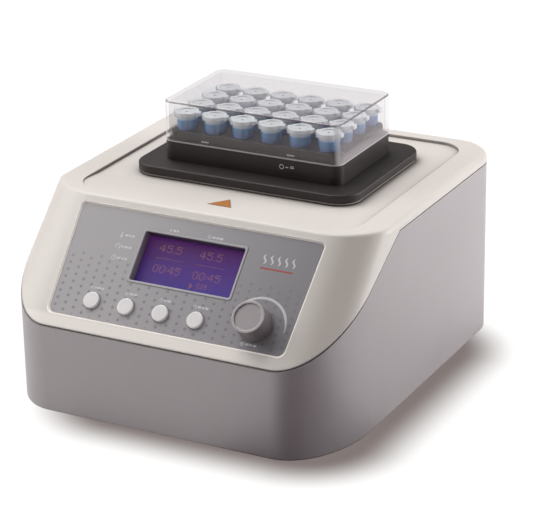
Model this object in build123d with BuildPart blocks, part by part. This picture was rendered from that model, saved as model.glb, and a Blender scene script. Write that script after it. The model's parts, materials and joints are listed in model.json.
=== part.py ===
from build123d import *
import math
import os

# Heated orbital shaker for sample tubes: a two-part casing with a sloping control
# panel, a drive on a chassis plate, and a moving platform carrying the tube block.
# Millimetres. X runs across, Y from the front (negative) to the rear, Z up from
# the table at 0.

os.makedirs("parts", exist_ok=True)
CUT = Mode.SUBTRACT

# ------------------------------------------------------------------- casing
WIDTH, DEPTH = 220.0, 244.0
Y_FRONT = -DEPTH / 2
CORNER_ACROSS, CORNER_ALONG = 36.0, 56.0   # elliptical front corners
REAR_CORNER_R = 27.0
Z_CASE = 4.0             # underside of the casing
Z_DECK = 120.2           # top of the deck rim
WALL_LOW, WALL_TOP = 2.5, 3.0
BASE_T = 2.0
Z_BASE_TOP = Z_CASE + BASE_T
Z_PART_FRONT = 58.0      # parting line at the front face
Z_PART_SIDE = 114.5      # parting line along the sides and the rear
Y_KNEE = -27.2           # where the side parting line turns level
PART_GAP = 0.25          # each side of the parting line
Y_CREST = -62.5          # where the control slope meets the deck
Y_DECK_CORNER = -34.0    # rear end of the deck's front corners
THROUGH = 130.0          # cuts that pass right through the casing

# ramped recess in the deck round the platform
DECK_OPENING = (138.0, 94.0)
RECESS_WIDTH, RECESS_Y0, RECESS_Y1, RECESS_R = 186.0, -55.0, 111.0, 18.0
Z_RECESS = 118.5
RAMP_Y0, RAMP_Z0 = RECESS_Y0 - 5, Z_DECK + 0.3   # high front end of the ramp
RAMP_Y1 = -25.0                                  # ramp meets the recess floor

# case screws and their bosses
DIAGONAL = math.sqrt(0.5)
BOSS_R = 4.5
FRONT_BOSS_X, FRONT_BOSS_Y = 88.0, -92.0
REAR_BOSS_OUT = 20.5     # from the rear corner's centre
REAR_BOSS_X = WIDTH / 2 - REAR_CORNER_R + REAR_BOSS_OUT * DIAGONAL
REAR_BOSS_Y = DEPTH / 2 - REAR_CORNER_R + REAR_BOSS_OUT * DIAGONAL
FRONT_BOSSES = [(-FRONT_BOSS_X, FRONT_BOSS_Y), (FRONT_BOSS_X, FRONT_BOSS_Y)]
REAR_BOSSES = [(-REAR_BOSS_X, REAR_BOSS_Y), (REAR_BOSS_X, REAR_BOSS_Y)]
BOSSES = FRONT_BOSSES + REAR_BOSSES
SCREW_R, SCREW_HOLE_R = 2.0, 2.25
FEET = [(-68, -86), (68, -86), (-82, 92), (82, 92)]

# -------------------------------------------------------------- slope planes
# Both start at the front parting line; sketch y runs up the slope, z outwards.
SLOPE = math.atan2(Z_DECK - Z_PART_FRONT, Y_CREST - Y_FRONT)
PARTING_GRADE = (Z_PART_SIDE - Z_PART_FRONT) / (Y_KNEE - Y_FRONT)
PARTING_ANGLE = math.atan(PARTING_GRADE)
Z_BOSS_FRONT = Z_PART_FRONT + (FRONT_BOSS_Y - Y_FRONT) * PARTING_GRADE


def slope_plane(angle):
    return Plane(origin=(0, Y_FRONT, Z_PART_FRONT), x_dir=(1, 0, 0),
                 z_dir=(0, -math.sin(angle), math.cos(angle)))


PANEL = slope_plane(SLOPE)
PARTING = slope_plane(PARTING_ANGLE)
PANEL_AXIS = Axis((0, Y_FRONT, Z_PART_FRONT), (0, -math.sin(SLOPE), math.cos(SLOPE)))


# ------------------------------------------------------------------- helpers
# A sketch block in a helper does not join the caller's part, so each helper draws
# a private sketch and extrudes it into the part that is open.
def level(z):
    return Plane.XY.offset(z)


def grid(centre, pitch_x, pitch_y, columns, rows):
    return [(centre[0] + (i - (columns - 1) / 2) * pitch_x,
             centre[1] + (j - (rows - 1) / 2) * pitch_y)
            for i in range(columns) for j in range(rows)]


def shifted(places, across):
    return [(x + across, y) for x, y in places]


def grow(size, by):
    return size[0] + by, size[1] + by


def discs(plane, places, radius, amount, bore=0, taper=0, mode=Mode.ADD):
    with BuildSketch(plane, mode=Mode.PRIVATE) as sketch:
        with Locations(*places):
            Circle(radius)
            if bore:
                Circle(bore, mode=CUT)
    extrude(sketch.sketch, amount=amount, taper=taper, mode=mode)


def blocks(plane, places, size, amount, corner=0, mode=Mode.ADD):
    with BuildSketch(plane, mode=Mode.PRIVATE) as sketch:
        with Locations(*places):
            if corner:
                RectangleRounded(*size, corner)
            else:
                Rectangle(*size)
    extrude(sketch.sketch, amount=amount, mode=mode)


def cut_crosses(plane, places, length, width, amount):
    # driver slots in screw heads
    with BuildSketch(plane, mode=Mode.PRIVATE) as sketch:
        with Locations(*places):
            Rectangle(length, width)
            Rectangle(width, length)
    extrude(sketch.sketch, amount=amount, mode=CUT)


def trim_to_side_profile(points):
    # keeps what lies inside a (y, z) polygon
    with BuildSketch(Plane.YZ, mode=Mode.PRIVATE) as sketch:
        with BuildLine():
            Polyline(*points, close=True)
        make_face()
    extrude(sketch.sketch, amount=120, both=True, mode=Mode.INTERSECT)


def save(part, name):
    part.label = name
    export_step(part, f"parts/{name}.step")


# ----------------------------------------------------------- casing outlines
def body_plan(z, inset):
    half, front, rear = WIDTH / 2 - inset, Y_FRONT + inset, DEPTH / 2 - inset
    across, along = CORNER_ACROSS - inset, CORNER_ALONG - inset
    radius = REAR_CORNER_R - inset
    with BuildSketch(level(z), mode=Mode.PRIVATE) as plan:
        with BuildLine():
            Line((-half + across, front), (half - across, front))
            EllipticalCenterArc((half - across, front + along), across, along, 270, arc_size=90)
            Line((half, front + along), (half, rear - radius))
            CenterArc((half - radius, rear - radius), radius, 0, 90)
            Line((half - radius, rear), (-half + radius, rear))
            CenterArc((-half + radius, rear - radius), radius, 90, 90)
            Line((-half, rear - radius), (-half, front + along))
            EllipticalCenterArc((-half + across, front + along), across, along, 180, arc_size=90)
        make_face()
    return plan.sketch


def front_plan(plane, inset, y_rear, y_corner, y_front):
    # front part of the casing outline, square at the rear
    half, across, along = WIDTH / 2 - inset, CORNER_ACROSS - inset, y_corner - y_front
    with BuildSketch(plane, mode=Mode.PRIVATE) as plan:
        with BuildLine():
            Line((-half, y_rear), (-half, y_corner))
            EllipticalCenterArc((-half + across, y_corner), across, along, 180, arc_size=90)
            Line((-half + across, y_front), (half - across, y_front))
            EllipticalCenterArc((half - across, y_corner), across, along, 270, arc_size=90)
            Line((half, y_corner), (half, y_rear))
            Line((half, y_rear), (-half, y_rear))
        make_face()
    return plan.sketch


def wedge_foot(inset, y_front):
    # plan lengths are stretched onto the sloping parting plane
    stretch = 1 / math.cos(PARTING_ANGLE)
    return front_plan(PARTING, inset, (Y_KNEE - Y_FRONT) * stretch,
                      CORNER_ALONG * stretch, (y_front - Y_FRONT) * stretch)


def wedge_top(z, inset, y_front):
    return front_plan(level(z), inset, Y_KNEE, Y_DECK_CORNER, y_front)


def parting_profile(rise):
    # region below the parting line, side view
    margin, bottom = 20, -10
    with BuildSketch(Plane.YZ, mode=Mode.PRIVATE) as profile:
        with BuildLine():
            Polyline((Y_FRONT - margin, bottom),
                     (Y_FRONT - margin, Z_PART_FRONT - margin * PARTING_GRADE + rise),
                     (Y_KNEE, Z_PART_SIDE + rise), (DEPTH / 2 + margin, Z_PART_SIDE + rise),
                     (DEPTH / 2 + margin, bottom), close=True)
        make_face()
        knee = profile.vertices().sort_by_distance(Vector(0, Y_KNEE, Z_PART_SIDE + rise))[0]
        fillet(knee, 14)
    return profile.sketch


# ------------------------------------------------------------- control panel
# Places are (across, up the slope); offsets are measured out from the slope.
PANEL_CENTRE = (1.9, 45.1)
PANEL_W, PANEL_W_LOW, PANEL_H = 159.4, 153.4, 70.0   # narrower at the lower edge
SEAT = 1.6               # depth of the panel seat
SEAT_GAP = 0.8           # margin between the overlay and the seat wall
OVERLAY_T = 0.6
WINDOW = (2.1, 53.7)
BEZEL, BEZEL_R = (68.6, 33.8), 1.7
SKIRT, SKIRT_R = (67.2, 32.4), 1.5
SIGHT, SIGHT_R = (65.8, 31.0), 1.1
SKIRT_FOOT = -7.6        # foot of the bezel's walls, where the glass begins
LCD, LCD_T = (68.0, 35.0), 2.2
BACKLIGHT = (72.0, 38.0)
BUTTONS = [(-49.3 + i * 22.9, 21.3) for i in range(4)]
BUTTON_R = 5.1
BUTTON_GAP = 0.3
BUTTON_UP = 0.7
BUTTON_TRAVEL = 0.8
FLANGE_FOOT, FLANGE_T = -4.2, 0.9
KNOB = (57.0, 25.3)
KNOB_R, KNOB_BASE_R, KNOB_H = 9.7, 10.4, 12.2
KNOB_FOOT = 0.1
BUSHING_R, BUSHING_HOLE_R, BUSHING_TOP = 3.5, 3.7, 1.4
SHAFT_R, SHAFT_FOOT, SHAFT_L = 3.0, -5.0, 15.5
SHAFT_TOP = SHAFT_FOOT + SHAFT_L
FLAT = (KNOB[0], KNOB[1] + 3.4)      # block that takes the shaft's flat
FLAT_SIZE = (8, 3.0)
BOARD = -13.0            # component side of the control board
BOARD_T = 1.6
SWITCH_BODY_H, SWITCH_STEM_H = 2.2, 0.9
STAKES = grid(PANEL_CENTRE, 142, 56, 2, 2)


def panel_outline(offset, margin, radius_top, radius_low):
    # tapering outline on a plane parallel to the control slope
    low, top = PANEL_W_LOW / 2 + margin, PANEL_W / 2 + margin
    half = PANEL_H / 2 + margin
    x, y = PANEL_CENTRE
    up = Axis((0, 0, 0), PANEL.y_dir)
    with BuildSketch(PANEL.offset(offset), mode=Mode.PRIVATE) as outline:
        with BuildLine():
            Polyline((x - low, y - half), (x + low, y - half),
                     (x + top, y + half), (x - top, y + half), close=True)
        make_face()
        fillet(outline.vertices().sort_by(up)[:2], radius_low)
        fillet(outline.vertices().sort_by(up)[-2:], radius_top)
    return outline.sketch


def cut_panel_openings(offset, window, corner, amount):
    # display, button and encoder openings
    with BuildSketch(PANEL.offset(offset), mode=Mode.PRIVATE) as openings:
        with Locations(WINDOW):
            RectangleRounded(*window, corner)
        with Locations(*BUTTONS):
            Circle(BUTTON_R + BUTTON_GAP)
        with Locations(KNOB):
            Circle(BUSHING_HOLE_R)
    extrude(openings.sketch, amount=amount, mode=CUT)


# ------------------------------------------------------------- lower housing
REAR_CENTRE = (0, 45)    # of the rear opening, in x and z
REAR_OPENING, REAR_PANEL = (168, 62), (172, 66)
REAR_FRAME = 5.0         # depth of the frame round the opening
RIB = (19, 3)            # ties a front boss to the wall
RIB_OUT = 8 * DIAGONAL


def lower_core():
    with BuildPart() as core:
        extrude(body_plan(Z_CASE - 1, WALL_LOW), amount=THROUGH)
        # bosses and ribs stay solid
        with BuildSketch(level(Z_BASE_TOP)):
            with Locations(*BOSSES):
                Circle(BOSS_R)
            for side in (1, -1):
                with Locations((side * (FRONT_BOSS_X + RIB_OUT), FRONT_BOSS_Y - RIB_OUT)):
                    Rectangle(*RIB, rotation=-45 * side)
        extrude(amount=THROUGH, mode=CUT)
        # frame round the rear opening
        blocks(Plane.XZ.offset(-DEPTH / 2 + WALL_LOW), [REAR_CENTRE], REAR_PANEL, REAR_FRAME,
               mode=CUT)
    return core.part


def lower_housing():
    core = lower_core()
    with BuildPart() as housing:
        extrude(body_plan(Z_CASE, 0), amount=125)
        extrude(parting_profile(-PART_GAP), amount=150, both=True, mode=Mode.INTERSECT)
        add(core, mode=CUT)
        blocks(Plane.XZ.offset(-DEPTH / 2 - 1), [REAR_CENTRE], REAR_OPENING, 10,
               corner=3, mode=CUT)
        # screw passages through the corner bosses
        discs(level(Z_CASE), BOSSES, SCREW_HOLE_R, THROUGH, mode=CUT)
        fillet(housing.faces().sort_by(Axis.Z)[0].outer_wire().edges(), 1.2)
    return housing.part


# --------------------------------------------------------------- upper cover
def rear_half(z_low, z_high, inset):
    # casing plan behind the knee
    with BuildPart() as half:
        extrude(body_plan(z_low, inset), amount=z_high - z_low)
        blocks(level(z_low - 1), [(0, Y_KNEE - 100)], (WIDTH + 20, 200), 20, mode=CUT)
    return half.part


def cover_core():
    ceiling = Z_RECESS - 3.1
    # front edges of the hollow, set back by the wall square to the slope
    setback = WALL_TOP / math.sin(SLOPE)
    steepness = math.tan(SLOPE)
    foot = Y_FRONT + setback * steepness / (steepness - math.tan(PARTING_ANGLE))
    top = Y_FRONT + setback + (ceiling - Z_PART_FRONT) / steepness
    rear = rear_half(Z_PART_SIDE - 4, ceiling, WALL_TOP)
    with BuildPart() as core:
        loft([wedge_foot(WALL_TOP, foot), wedge_top(ceiling, WALL_TOP, top)], ruled=True)
        # carries the hollow down past the parting plane
        blocks(PARTING, [(0, 52)], (196, 84), -6)
        add(rear)
        # the corner bosses stay solid
        discs(level(30), BOSSES, BOSS_R, 110, mode=CUT)
    return core.part


def recess_tool():
    top = Z_DECK + 5
    with BuildPart() as tool:
        blocks(level(Z_RECESS - 1), [(0, (RECESS_Y0 + RECESS_Y1) / 2)],
               (RECESS_WIDTH, RECESS_Y1 - RECESS_Y0), 10, corner=RECESS_R)
        trim_to_side_profile([(RAMP_Y0, RAMP_Z0), (RAMP_Y1, Z_RECESS),
                              (RECESS_Y1 + 5, Z_RECESS), (RECESS_Y1 + 5, top), (RAMP_Y0, top)])
    return tool.part


def cover_blank():
    rear = rear_half(Z_PART_SIDE - 2, Z_DECK, 0)
    with BuildPart() as blank:
        loft([wedge_foot(0, Y_FRONT), wedge_top(Z_DECK, 0, Y_CREST)], ruled=True)
        add(rear)
        fillet(blank.faces().sort_by(Axis.Z)[-1].outer_wire().edges(), 3.5)
    return blank.part


def below_parting():
    with BuildPart() as below:
        extrude(parting_profile(PART_GAP), amount=150, both=True)
    return below.part


def upper_cover():
    blank = cover_blank()
    tools = [below_parting(), cover_core(), recess_tool()]
    stake_head_t = 1.2
    with BuildPart() as cover:
        add(blank)
        for tool in tools:
            add(tool, mode=CUT)
        # opening the moving assembly passes through
        blocks(level(Z_DECK + 1), [CENTRE], DECK_OPENING, -20, corner=12, mode=CUT)
        # seat for the panel overlay
        extrude(panel_outline(-SEAT, SEAT_GAP, 3.0, 5.4), amount=8, mode=CUT)
        cut_panel_openings(2, grow(SKIRT, 0.4), SKIRT_R, -10)
        # pilot holes for the case screws
        discs(level(Z_BOSS_FRONT - 4), FRONT_BOSSES, SCREW_R, 8.0, mode=CUT)
        discs(level(Z_PART_SIDE - 4), REAR_BOSSES, SCREW_R, 7.5, mode=CUT)
        # posts that carry the control board, their tips staked over behind it
        discs(PANEL.offset(BOARD), STAKES, 2.9, -2.4 - BOARD)
        discs(PANEL.offset(BOARD - BOARD_T), STAKES, 1.5, BOARD_T)
        discs(PANEL.offset(BOARD - BOARD_T - stake_head_t), STAKES, 2.5, stake_head_t)
    return cover.part


# --------------------------------------------------- base plate, feet, screws
Z_MAIN_BOARD = 12.0
MAIN_BOARD_CENTRE = (0, -62)
STUDS = grid(MAIN_BOARD_CENTRE, 122, 54, 2, 2)
FOOT_HOLE_R = 2.1
Z_FOOT_SEAT = 2.2        # where the foot screw's head bears


def base_plate():
    with BuildPart() as plate:
        extrude(body_plan(Z_CASE, WALL_LOW + 0.3), amount=BASE_T)
        with BuildSketch(level(Z_CASE)):
            with Locations(*BOSSES):
                Circle(SCREW_HOLE_R)
            with Locations(*FEET):
                Circle(FOOT_HOLE_R)
            # two rows of vent slots
            with Locations(*grid((0, -96), 9, 0, 9, 1)):
                SlotOverall(22, 3.2, rotation=90)
            with Locations(*grid((55, 60), 8, 0, 4, 1)):
                SlotOverall(40, 3.2, rotation=90)
        extrude(amount=BASE_T, mode=CUT)
        # pressed-in studs under the main board
        with BuildSketch(level(Z_BASE_TOP)):
            with Locations(*STUDS):
                RegularPolygon(3.2, 6)
        extrude(amount=Z_MAIN_BOARD - Z_BASE_TOP)
        discs(level(Z_MAIN_BOARD), STUDS, 1.55, 2.6)
    return plate.part


def rubber_feet():
    with BuildPart() as feet:
        discs(Plane.XY, FEET, 9.5, Z_CASE, taper=-4)
        discs(Plane.XY, FEET, 4.6, Z_FOOT_SEAT, mode=CUT)
        discs(Plane.XY, FEET, FOOT_HOLE_R, Z_CASE, mode=CUT)
    return feet.part


def foot_screws():
    head_t = 1.6
    foot = level(Z_FOOT_SEAT - head_t)
    with BuildPart() as screws:
        discs(foot, FEET, 3.6, head_t)
        discs(level(Z_FOOT_SEAT), FEET, 1.9, 5.6)
        cut_crosses(foot, FEET, 4.4, 0.9, 0.8)
    return screws.part


def case_screws():
    head_t = 2.2
    with BuildPart() as screws:
        discs(level(Z_CASE - head_t), BOSSES, 3.7, head_t)
        discs(level(Z_CASE), FRONT_BOSSES, SCREW_R, Z_BOSS_FRONT + 3.4 - Z_CASE)
        discs(level(Z_CASE), REAR_BOSSES, SCREW_R, Z_PART_SIDE + 3.0 - Z_CASE)
        cut_crosses(level(Z_CASE - head_t), BOSSES, 4.6, 0.9, 1.1)
    return screws.part


# ------------------------------------------------------ control panel pieces
def panel_overlay():
    with BuildPart() as overlay:
        extrude(panel_outline(-SEAT, 0, 2.2, 4.6), amount=OVERLAY_T)
        cut_panel_openings(-SEAT, grow(BEZEL, 0.3), 1.9, OVERLAY_T)
    return overlay.part


def display_bezel():
    with BuildPart() as bezel:
        blocks(PANEL.offset(-SEAT), [WINDOW], BEZEL, OVERLAY_T + 0.3, corner=BEZEL_R)
        blocks(PANEL.offset(SKIRT_FOOT), [WINDOW], SKIRT, -SEAT - SKIRT_FOOT, corner=SKIRT_R)
        blocks(PANEL.offset(SKIRT_FOOT), [WINDOW], SIGHT, 8, corner=SIGHT_R, mode=CUT)
        chamfer(bezel.faces().sort_by(PANEL_AXIS)[-1].inner_wires()[0].edges(), 0.3)
    return bezel.part


def display_window():
    with BuildPart() as window:
        blocks(PANEL.offset(SKIRT_FOOT), [WINDOW], SIGHT, 0.9, corner=SIGHT_R)
    return window.part


def lcd_glass():
    with BuildPart() as glass:
        blocks(PANEL.offset(SKIRT_FOOT - LCD_T), [WINDOW], LCD, LCD_T)
    return glass.part


def lcd_backlight():
    top = SKIRT_FOOT - LCD_T
    with BuildPart() as backlight:
        blocks(PANEL.offset(BOARD), [WINDOW], BACKLIGHT, top - BOARD, corner=1.5)
        # rim round the glass
        with BuildSketch(PANEL.offset(top)):
            with Locations(WINDOW):
                Rectangle(*BACKLIGHT)
                Rectangle(*grow(LCD, 0.4), mode=CUT)
        extrude(amount=1.6)
    return backlight.part


def control_board():
    with BuildPart() as board:
        with BuildSketch(PANEL.offset(BOARD - BOARD_T)):
            with Locations(PANEL_CENTRE):
                RectangleRounded(150, 64, 2)
            with Locations(*STAKES):
                Circle(1.55, mode=CUT)
        extrude(amount=BOARD_T)
        # tactile switches under the four buttons
        blocks(PANEL.offset(BOARD), BUTTONS, (6.0, 6.0), SWITCH_BODY_H)
        discs(PANEL.offset(BOARD + SWITCH_BODY_H), BUTTONS, 1.7, SWITCH_STEM_H)
    return board.part


def button(place):
    # the stem stops clear of the switch by the travel and a little more
    foot = BOARD + SWITCH_BODY_H + SWITCH_STEM_H + BUTTON_TRAVEL + 0.15
    cap_foot = FLANGE_FOOT + FLANGE_T
    with BuildPart() as cap:
        discs(PANEL.offset(FLANGE_FOOT), [place], BUTTON_R + 1.4, FLANGE_T)
        discs(PANEL.offset(cap_foot), [place], BUTTON_R, BUTTON_UP - cap_foot)
        fillet(cap.edges().filter_by(GeomType.CIRCLE).sort_by(PANEL_AXIS)[-1], 0.7)
        discs(PANEL.offset(foot), [place], 1.6, FLANGE_FOOT - foot)
    return cap.part


# ---------------------------------------------------------- encoder and knob
def encoder_body():
    body_h = 7.0
    with BuildPart() as body:
        blocks(PANEL.offset(BOARD), [KNOB], (12.6, 12.6), body_h, corner=0.8)
        discs(PANEL.offset(BOARD + body_h), [KNOB], BUSHING_R, BUSHING_TOP - BOARD - body_h)
        discs(PANEL.offset(BUSHING_TOP), [KNOB], 3.05, -9.4, mode=CUT)
    return body.part


def encoder_nut():
    with BuildPart() as nut:
        with BuildSketch(PANEL.offset(-SEAT + OVERLAY_T)):
            with Locations(KNOB):
                RegularPolygon(5.6, 6)
                Circle(BUSHING_R, mode=CUT)
        extrude(amount=1.8)
    return nut.part


def encoder_plunger():
    length = 1.6
    with BuildPart() as plunger:
        discs(PANEL.offset(SHAFT_FOOT - length), [KNOB], 2.95, length)
    return plunger.part


def encoder_shaft():
    with BuildPart() as shaft:
        discs(PANEL.offset(SHAFT_FOOT), [KNOB], SHAFT_R, SHAFT_L)
        blocks(PANEL.offset(3.0), [FLAT], FLAT_SIZE, 9, mode=CUT)
    return shaft.part


def knob():
    side_taper = math.degrees(math.atan((KNOB_BASE_R - KNOB_R) / KNOB_H))
    foot = PANEL.offset(KNOB_FOOT)
    with BuildPart() as body:
        discs(foot, [KNOB], KNOB_BASE_R, KNOB_H, taper=side_taper)
        # shallow dished face
        discs(PANEL.offset(KNOB_FOOT + KNOB_H), [KNOB], KNOB_R - 1.3, -0.8, taper=30, mode=CUT)
        # underside hollow, then the D-shaped shaft socket
        discs(foot, [KNOB], 7.2, 3.1, mode=CUT)
        with BuildSketch(foot):
            with Locations(KNOB):
                Circle(SHAFT_R)
            with Locations(FLAT):
                Rectangle(*FLAT_SIZE, mode=CUT)
        extrude(amount=SHAFT_TOP - KNOB_FOOT, mode=CUT)
    return body.part


# ---------------------------------------------------------------- rear panel
# Seen from behind: sketch x runs towards -X, sketch y up.
REAR = Plane(origin=(0, DEPTH / 2, 0), x_dir=(-1, 0, 0), z_dir=(0, 1, 0))
FACE = -(WALL_LOW + REAR_FRAME)      # offset of the panel's outer face
Y_FACE = DEPTH / 2 + FACE
REAR_PANEL_T = 1.5
INLET, INLET_BODY = (-48, 34), (27.0, 19.4)
FUSE, FUSE_BODY = (-48, 56), (25.8, 10.8)
SWITCH, SWITCH_BODY = (-14, 34), (19.0, 12.8)
PORT, PORT_BODY = (-14, 60), (18.8, 9.8)
CUTOUTS = [  # place, body, clearance
    (INLET, INLET_BODY, 0.6), (FUSE, FUSE_BODY, 0.4),
    (SWITCH, SWITCH_BODY, 0.4), (PORT, PORT_BODY, 0.4)]
FAN = (46, 45)
FAN_HOLES = grid(FAN, 50, 50, 2, 2)
FAN_HOLE_R = 2.0
FAN_BACK, FAN_T = FACE - 16.5, 15.0
SPIDER_T = 1.8           # hub disc and arms at the frame's inner side
ROTOR_FOOT = FACE - 14.2
GUARD_T = 1.8


def rear_panel():
    with BuildPart() as panel:
        with BuildSketch(REAR.offset(FACE - REAR_PANEL_T)):
            with Locations(REAR_CENTRE):
                Rectangle(*REAR_PANEL)
            for place, body, clearance in CUTOUTS:
                with Locations(place):
                    Rectangle(*grow(body, clearance), mode=CUT)
            with Locations(FAN):
                Circle(28.5, mode=CUT)
            with Locations(*FAN_HOLES):
                Circle(FAN_HOLE_R, mode=CUT)
        extrude(amount=REAR_PANEL_T)
    return panel.part


def power_inlet():
    flange_t = 2.4
    with BuildPart() as inlet:
        blocks(REAR.offset(FACE), [INLET], (32, 24), flange_t, corner=2.5)
        blocks(REAR.offset(FACE - 20), [INLET], INLET_BODY, 20)
        with BuildSketch(REAR.offset(FACE + flange_t)) as socket:
            with Locations(INLET):
                Rectangle(24.0, 16.2)
            chamfer(socket.vertices().group_by(Axis.Z)[0], 3.4)
        extrude(amount=-16, mode=CUT)
    return inlet.part


def inlet_pins():
    x, y = INLET
    pins = [(x - 7, y - 1.6), (x + 7, y - 1.6), (x, y + 2.4)]
    with BuildPart() as blades:
        blocks(REAR.offset(FACE - 13.6), pins, (2.0, 4.0), 12.5)
    return blades.part


def fuse_drawer():
    flange_t = 2.0
    with BuildPart() as drawer:
        blocks(REAR.offset(FACE), [FUSE], (30, 14), flange_t, corner=1.5)
        blocks(REAR.offset(FACE - 18), [FUSE], FUSE_BODY, 18)
        with BuildSketch(REAR.offset(FACE + flange_t)):
            with Locations(FUSE):
                SlotOverall(12, 3)
        extrude(amount=-1.0, mode=CUT)
    return drawer.part


ROCKER_X = -SWITCH[0]
HINGE = (Y_FACE - 1.8, SWITCH[1])    # y and z of the rocker's hinge line
ROCKER_W, STUB_SPAN, STUB_R = 10.4, 18.2, 1.2
ROCKER_PROFILE = [       # y from the panel's outer face, z from the switch centre
    (-4.5, -2.2), (-4.5, 2.2), (1.2, 4.6), (3.6, 4.3), (2.0, 0), (1.2, -4.4), (0.4, -4.6)]


def switch_body():
    flange_t = 2.0
    with BuildPart() as body:
        blocks(REAR.offset(FACE), [SWITCH], (22, 16), flange_t, corner=1.5)
        blocks(REAR.offset(FACE - 15), [SWITCH], SWITCH_BODY, 15)
        blocks(REAR.offset(FACE + flange_t), [SWITCH], (16.6, 11.0), -11, mode=CUT)
        # bores for the rocker's pivot stubs
        discs(Plane.YZ.offset(ROCKER_X - SWITCH_BODY[0] / 2), [HINGE], STUB_R + 0.06,
              SWITCH_BODY[0], mode=CUT)
    return body.part


def power_rocker():
    # turns about X on two stubs inside the switch body
    with BuildPart() as rocker:
        with BuildSketch(Plane.YZ.offset(ROCKER_X - ROCKER_W / 2)):
            with BuildLine():
                Polyline(*[(Y_FACE + y, SWITCH[1] + z) for y, z in ROCKER_PROFILE], close=True)
            make_face()
        extrude(amount=ROCKER_W)
        discs(Plane.YZ.offset(ROCKER_X - STUB_SPAN / 2), [HINGE], STUB_R, STUB_SPAN)
    return rocker.part


def data_port():
    flange_t = 1.0
    with BuildPart() as port:
        blocks(REAR.offset(FACE), [PORT], (31, 12.6), flange_t, corner=1.5)
        # bored hexagonal posts at either side
        with BuildSketch(REAR.offset(FACE + flange_t)):
            with Locations(*grid(PORT, 25, 0, 2, 1)):
                RegularPolygon(2.6, 6)
                Circle(1.2, mode=CUT)
        extrude(amount=4.0)
        blocks(REAR.offset(FACE - 9), [PORT], PORT_BODY, 9)
        # trapezoidal shell
        with BuildSketch(REAR.offset(FACE + flange_t)):
            with Locations(PORT):
                Trapezoid(17.2, 8.6, 80)
                Trapezoid(15.8, 7.2, 80, mode=CUT)
        extrude(amount=4.6)
    return port.part


def fan_frame():
    with BuildPart() as frame:
        with BuildSketch(REAR.offset(FAN_BACK)):
            with Locations(FAN):
                RectangleRounded(60, 60, 3)
                Circle(28.0, mode=CUT)
            with Locations(*FAN_HOLES):
                Circle(FAN_HOLE_R, mode=CUT)
        extrude(amount=FAN_T)
        with BuildSketch(REAR.offset(FAN_BACK)):
            with Locations(FAN):
                Circle(11)
                with PolarLocations(20, 4, start_angle=45):
                    Rectangle(20, 3)
        extrude(amount=SPIDER_T)
        # spindle
        discs(REAR.offset(FAN_BACK + SPIDER_T), [FAN], 2.5, 6.0)
    return frame.part


def fan_rotor():
    blade_count, blade_radius, blade_t = 7, 20.2, 1.2
    tilt_round, tilt_along = 0.77, 0.64      # blade normal, round and along the fan's axis
    with BuildPart() as rotor:
        discs(REAR.offset(ROTOR_FOOT), [FAN], 13.5, 11.6)
        discs(REAR.offset(ROTOR_FOOT), [FAN], 2.56, 7.0, mode=CUT)
        for k in range(blade_count):
            angle = math.radians(k * 360 / blade_count)
            out_x, out_z = math.cos(angle), math.sin(angle)
            blade = Plane(origin=(-FAN[0] + blade_radius * out_x, Y_FACE - 8.6,
                                  FAN[1] + blade_radius * out_z),
                          x_dir=(out_x, 0, out_z),
                          z_dir=(-out_z * tilt_round, tilt_along, out_x * tilt_round))
            blocks(blade.offset(-blade_t / 2), [(0, 0)], (14.0, 11.6), blade_t, corner=2.5)
    return rotor.part


def fan_guard():
    with BuildPart() as guard:
        with BuildSketch(REAR.offset(FACE)):
            with Locations(FAN):
                for radius in (8, 14, 20, 26):
                    Circle(radius + 0.8)
                    Circle(radius - 0.8, mode=CUT)
                with PolarLocations(17.5, 4, start_angle=45):
                    Rectangle(36, 1.8)
            with Locations(*FAN_HOLES):
                Circle(4.0)
            with Locations(*FAN_HOLES):
                Circle(FAN_HOLE_R, mode=CUT)
        extrude(amount=GUARD_T)
    return guard.part


def fan_screws():
    head_t, shank_depth = 1.8, 14
    with BuildPart() as screws:
        discs(REAR.offset(FACE + GUARD_T), FAN_HOLES, 3.4, head_t)
        discs(REAR.offset(FACE - shank_depth), FAN_HOLES, 1.9, shank_depth + GUARD_T)
        cut_crosses(REAR.offset(FACE + GUARD_T + head_t), FAN_HOLES, 4.2, 0.8, -0.9)
    return screws.part


# --------------------------------------------------------- drive and chassis
ORBIT = 1.5              # eccentricity of the orbit, towards +X as built
CENTRE = (0, 33.7)       # centre of the shaking platform
ECCENTRIC = (CENTRE[0] + ORBIT, CENTRE[1])
Z_CHASSIS, CHASSIS_T = 36.0, 3.0
Z_CHASSIS_TOP = Z_CHASSIS + CHASSIS_T
PILLARS = grid((0, 35), 176, 98, 2, 2)
IDLERS = grid(CENTRE, 144, 92, 2, 2)
Z_MOTOR = 9.0
SHAFT_DRIVE_R, PIN_R = 5.0, 4.0
BEARING_R, BEARING_T = 11, 7.0
RUNNING_GAP = 0.04       # between a bearing's bore and its shaft
IDLER_BEARING_R, IDLER_JOURNAL_R = 8.0, 4.0
Z_WEIGHT0, Z_WEIGHT1 = 46.4, 52.4
Z_PIN = 57.0


def chassis_plate():
    with BuildPart() as plate:
        with BuildSketch(level(Z_CHASSIS)):
            with Locations((0, 33.5)):
                RectangleRounded(190, 117, 8)
            with Locations(CENTRE):
                Circle(9.0, mode=CUT)
                with PolarLocations(24, 4, start_angle=45):
                    Circle(2.0, mode=CUT)
            with Locations(*PILLARS):
                Circle(2.1, mode=CUT)
            with Locations((0, -16)):
                SlotOverall(80, 10, mode=CUT)
        extrude(amount=CHASSIS_T)
    return plate.part


def chassis_pillars():
    with BuildPart() as pillars:
        discs(level(Z_BASE_TOP), PILLARS, 5.5, Z_CHASSIS - Z_BASE_TOP, bore=2.0)
    return pillars.part


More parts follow.
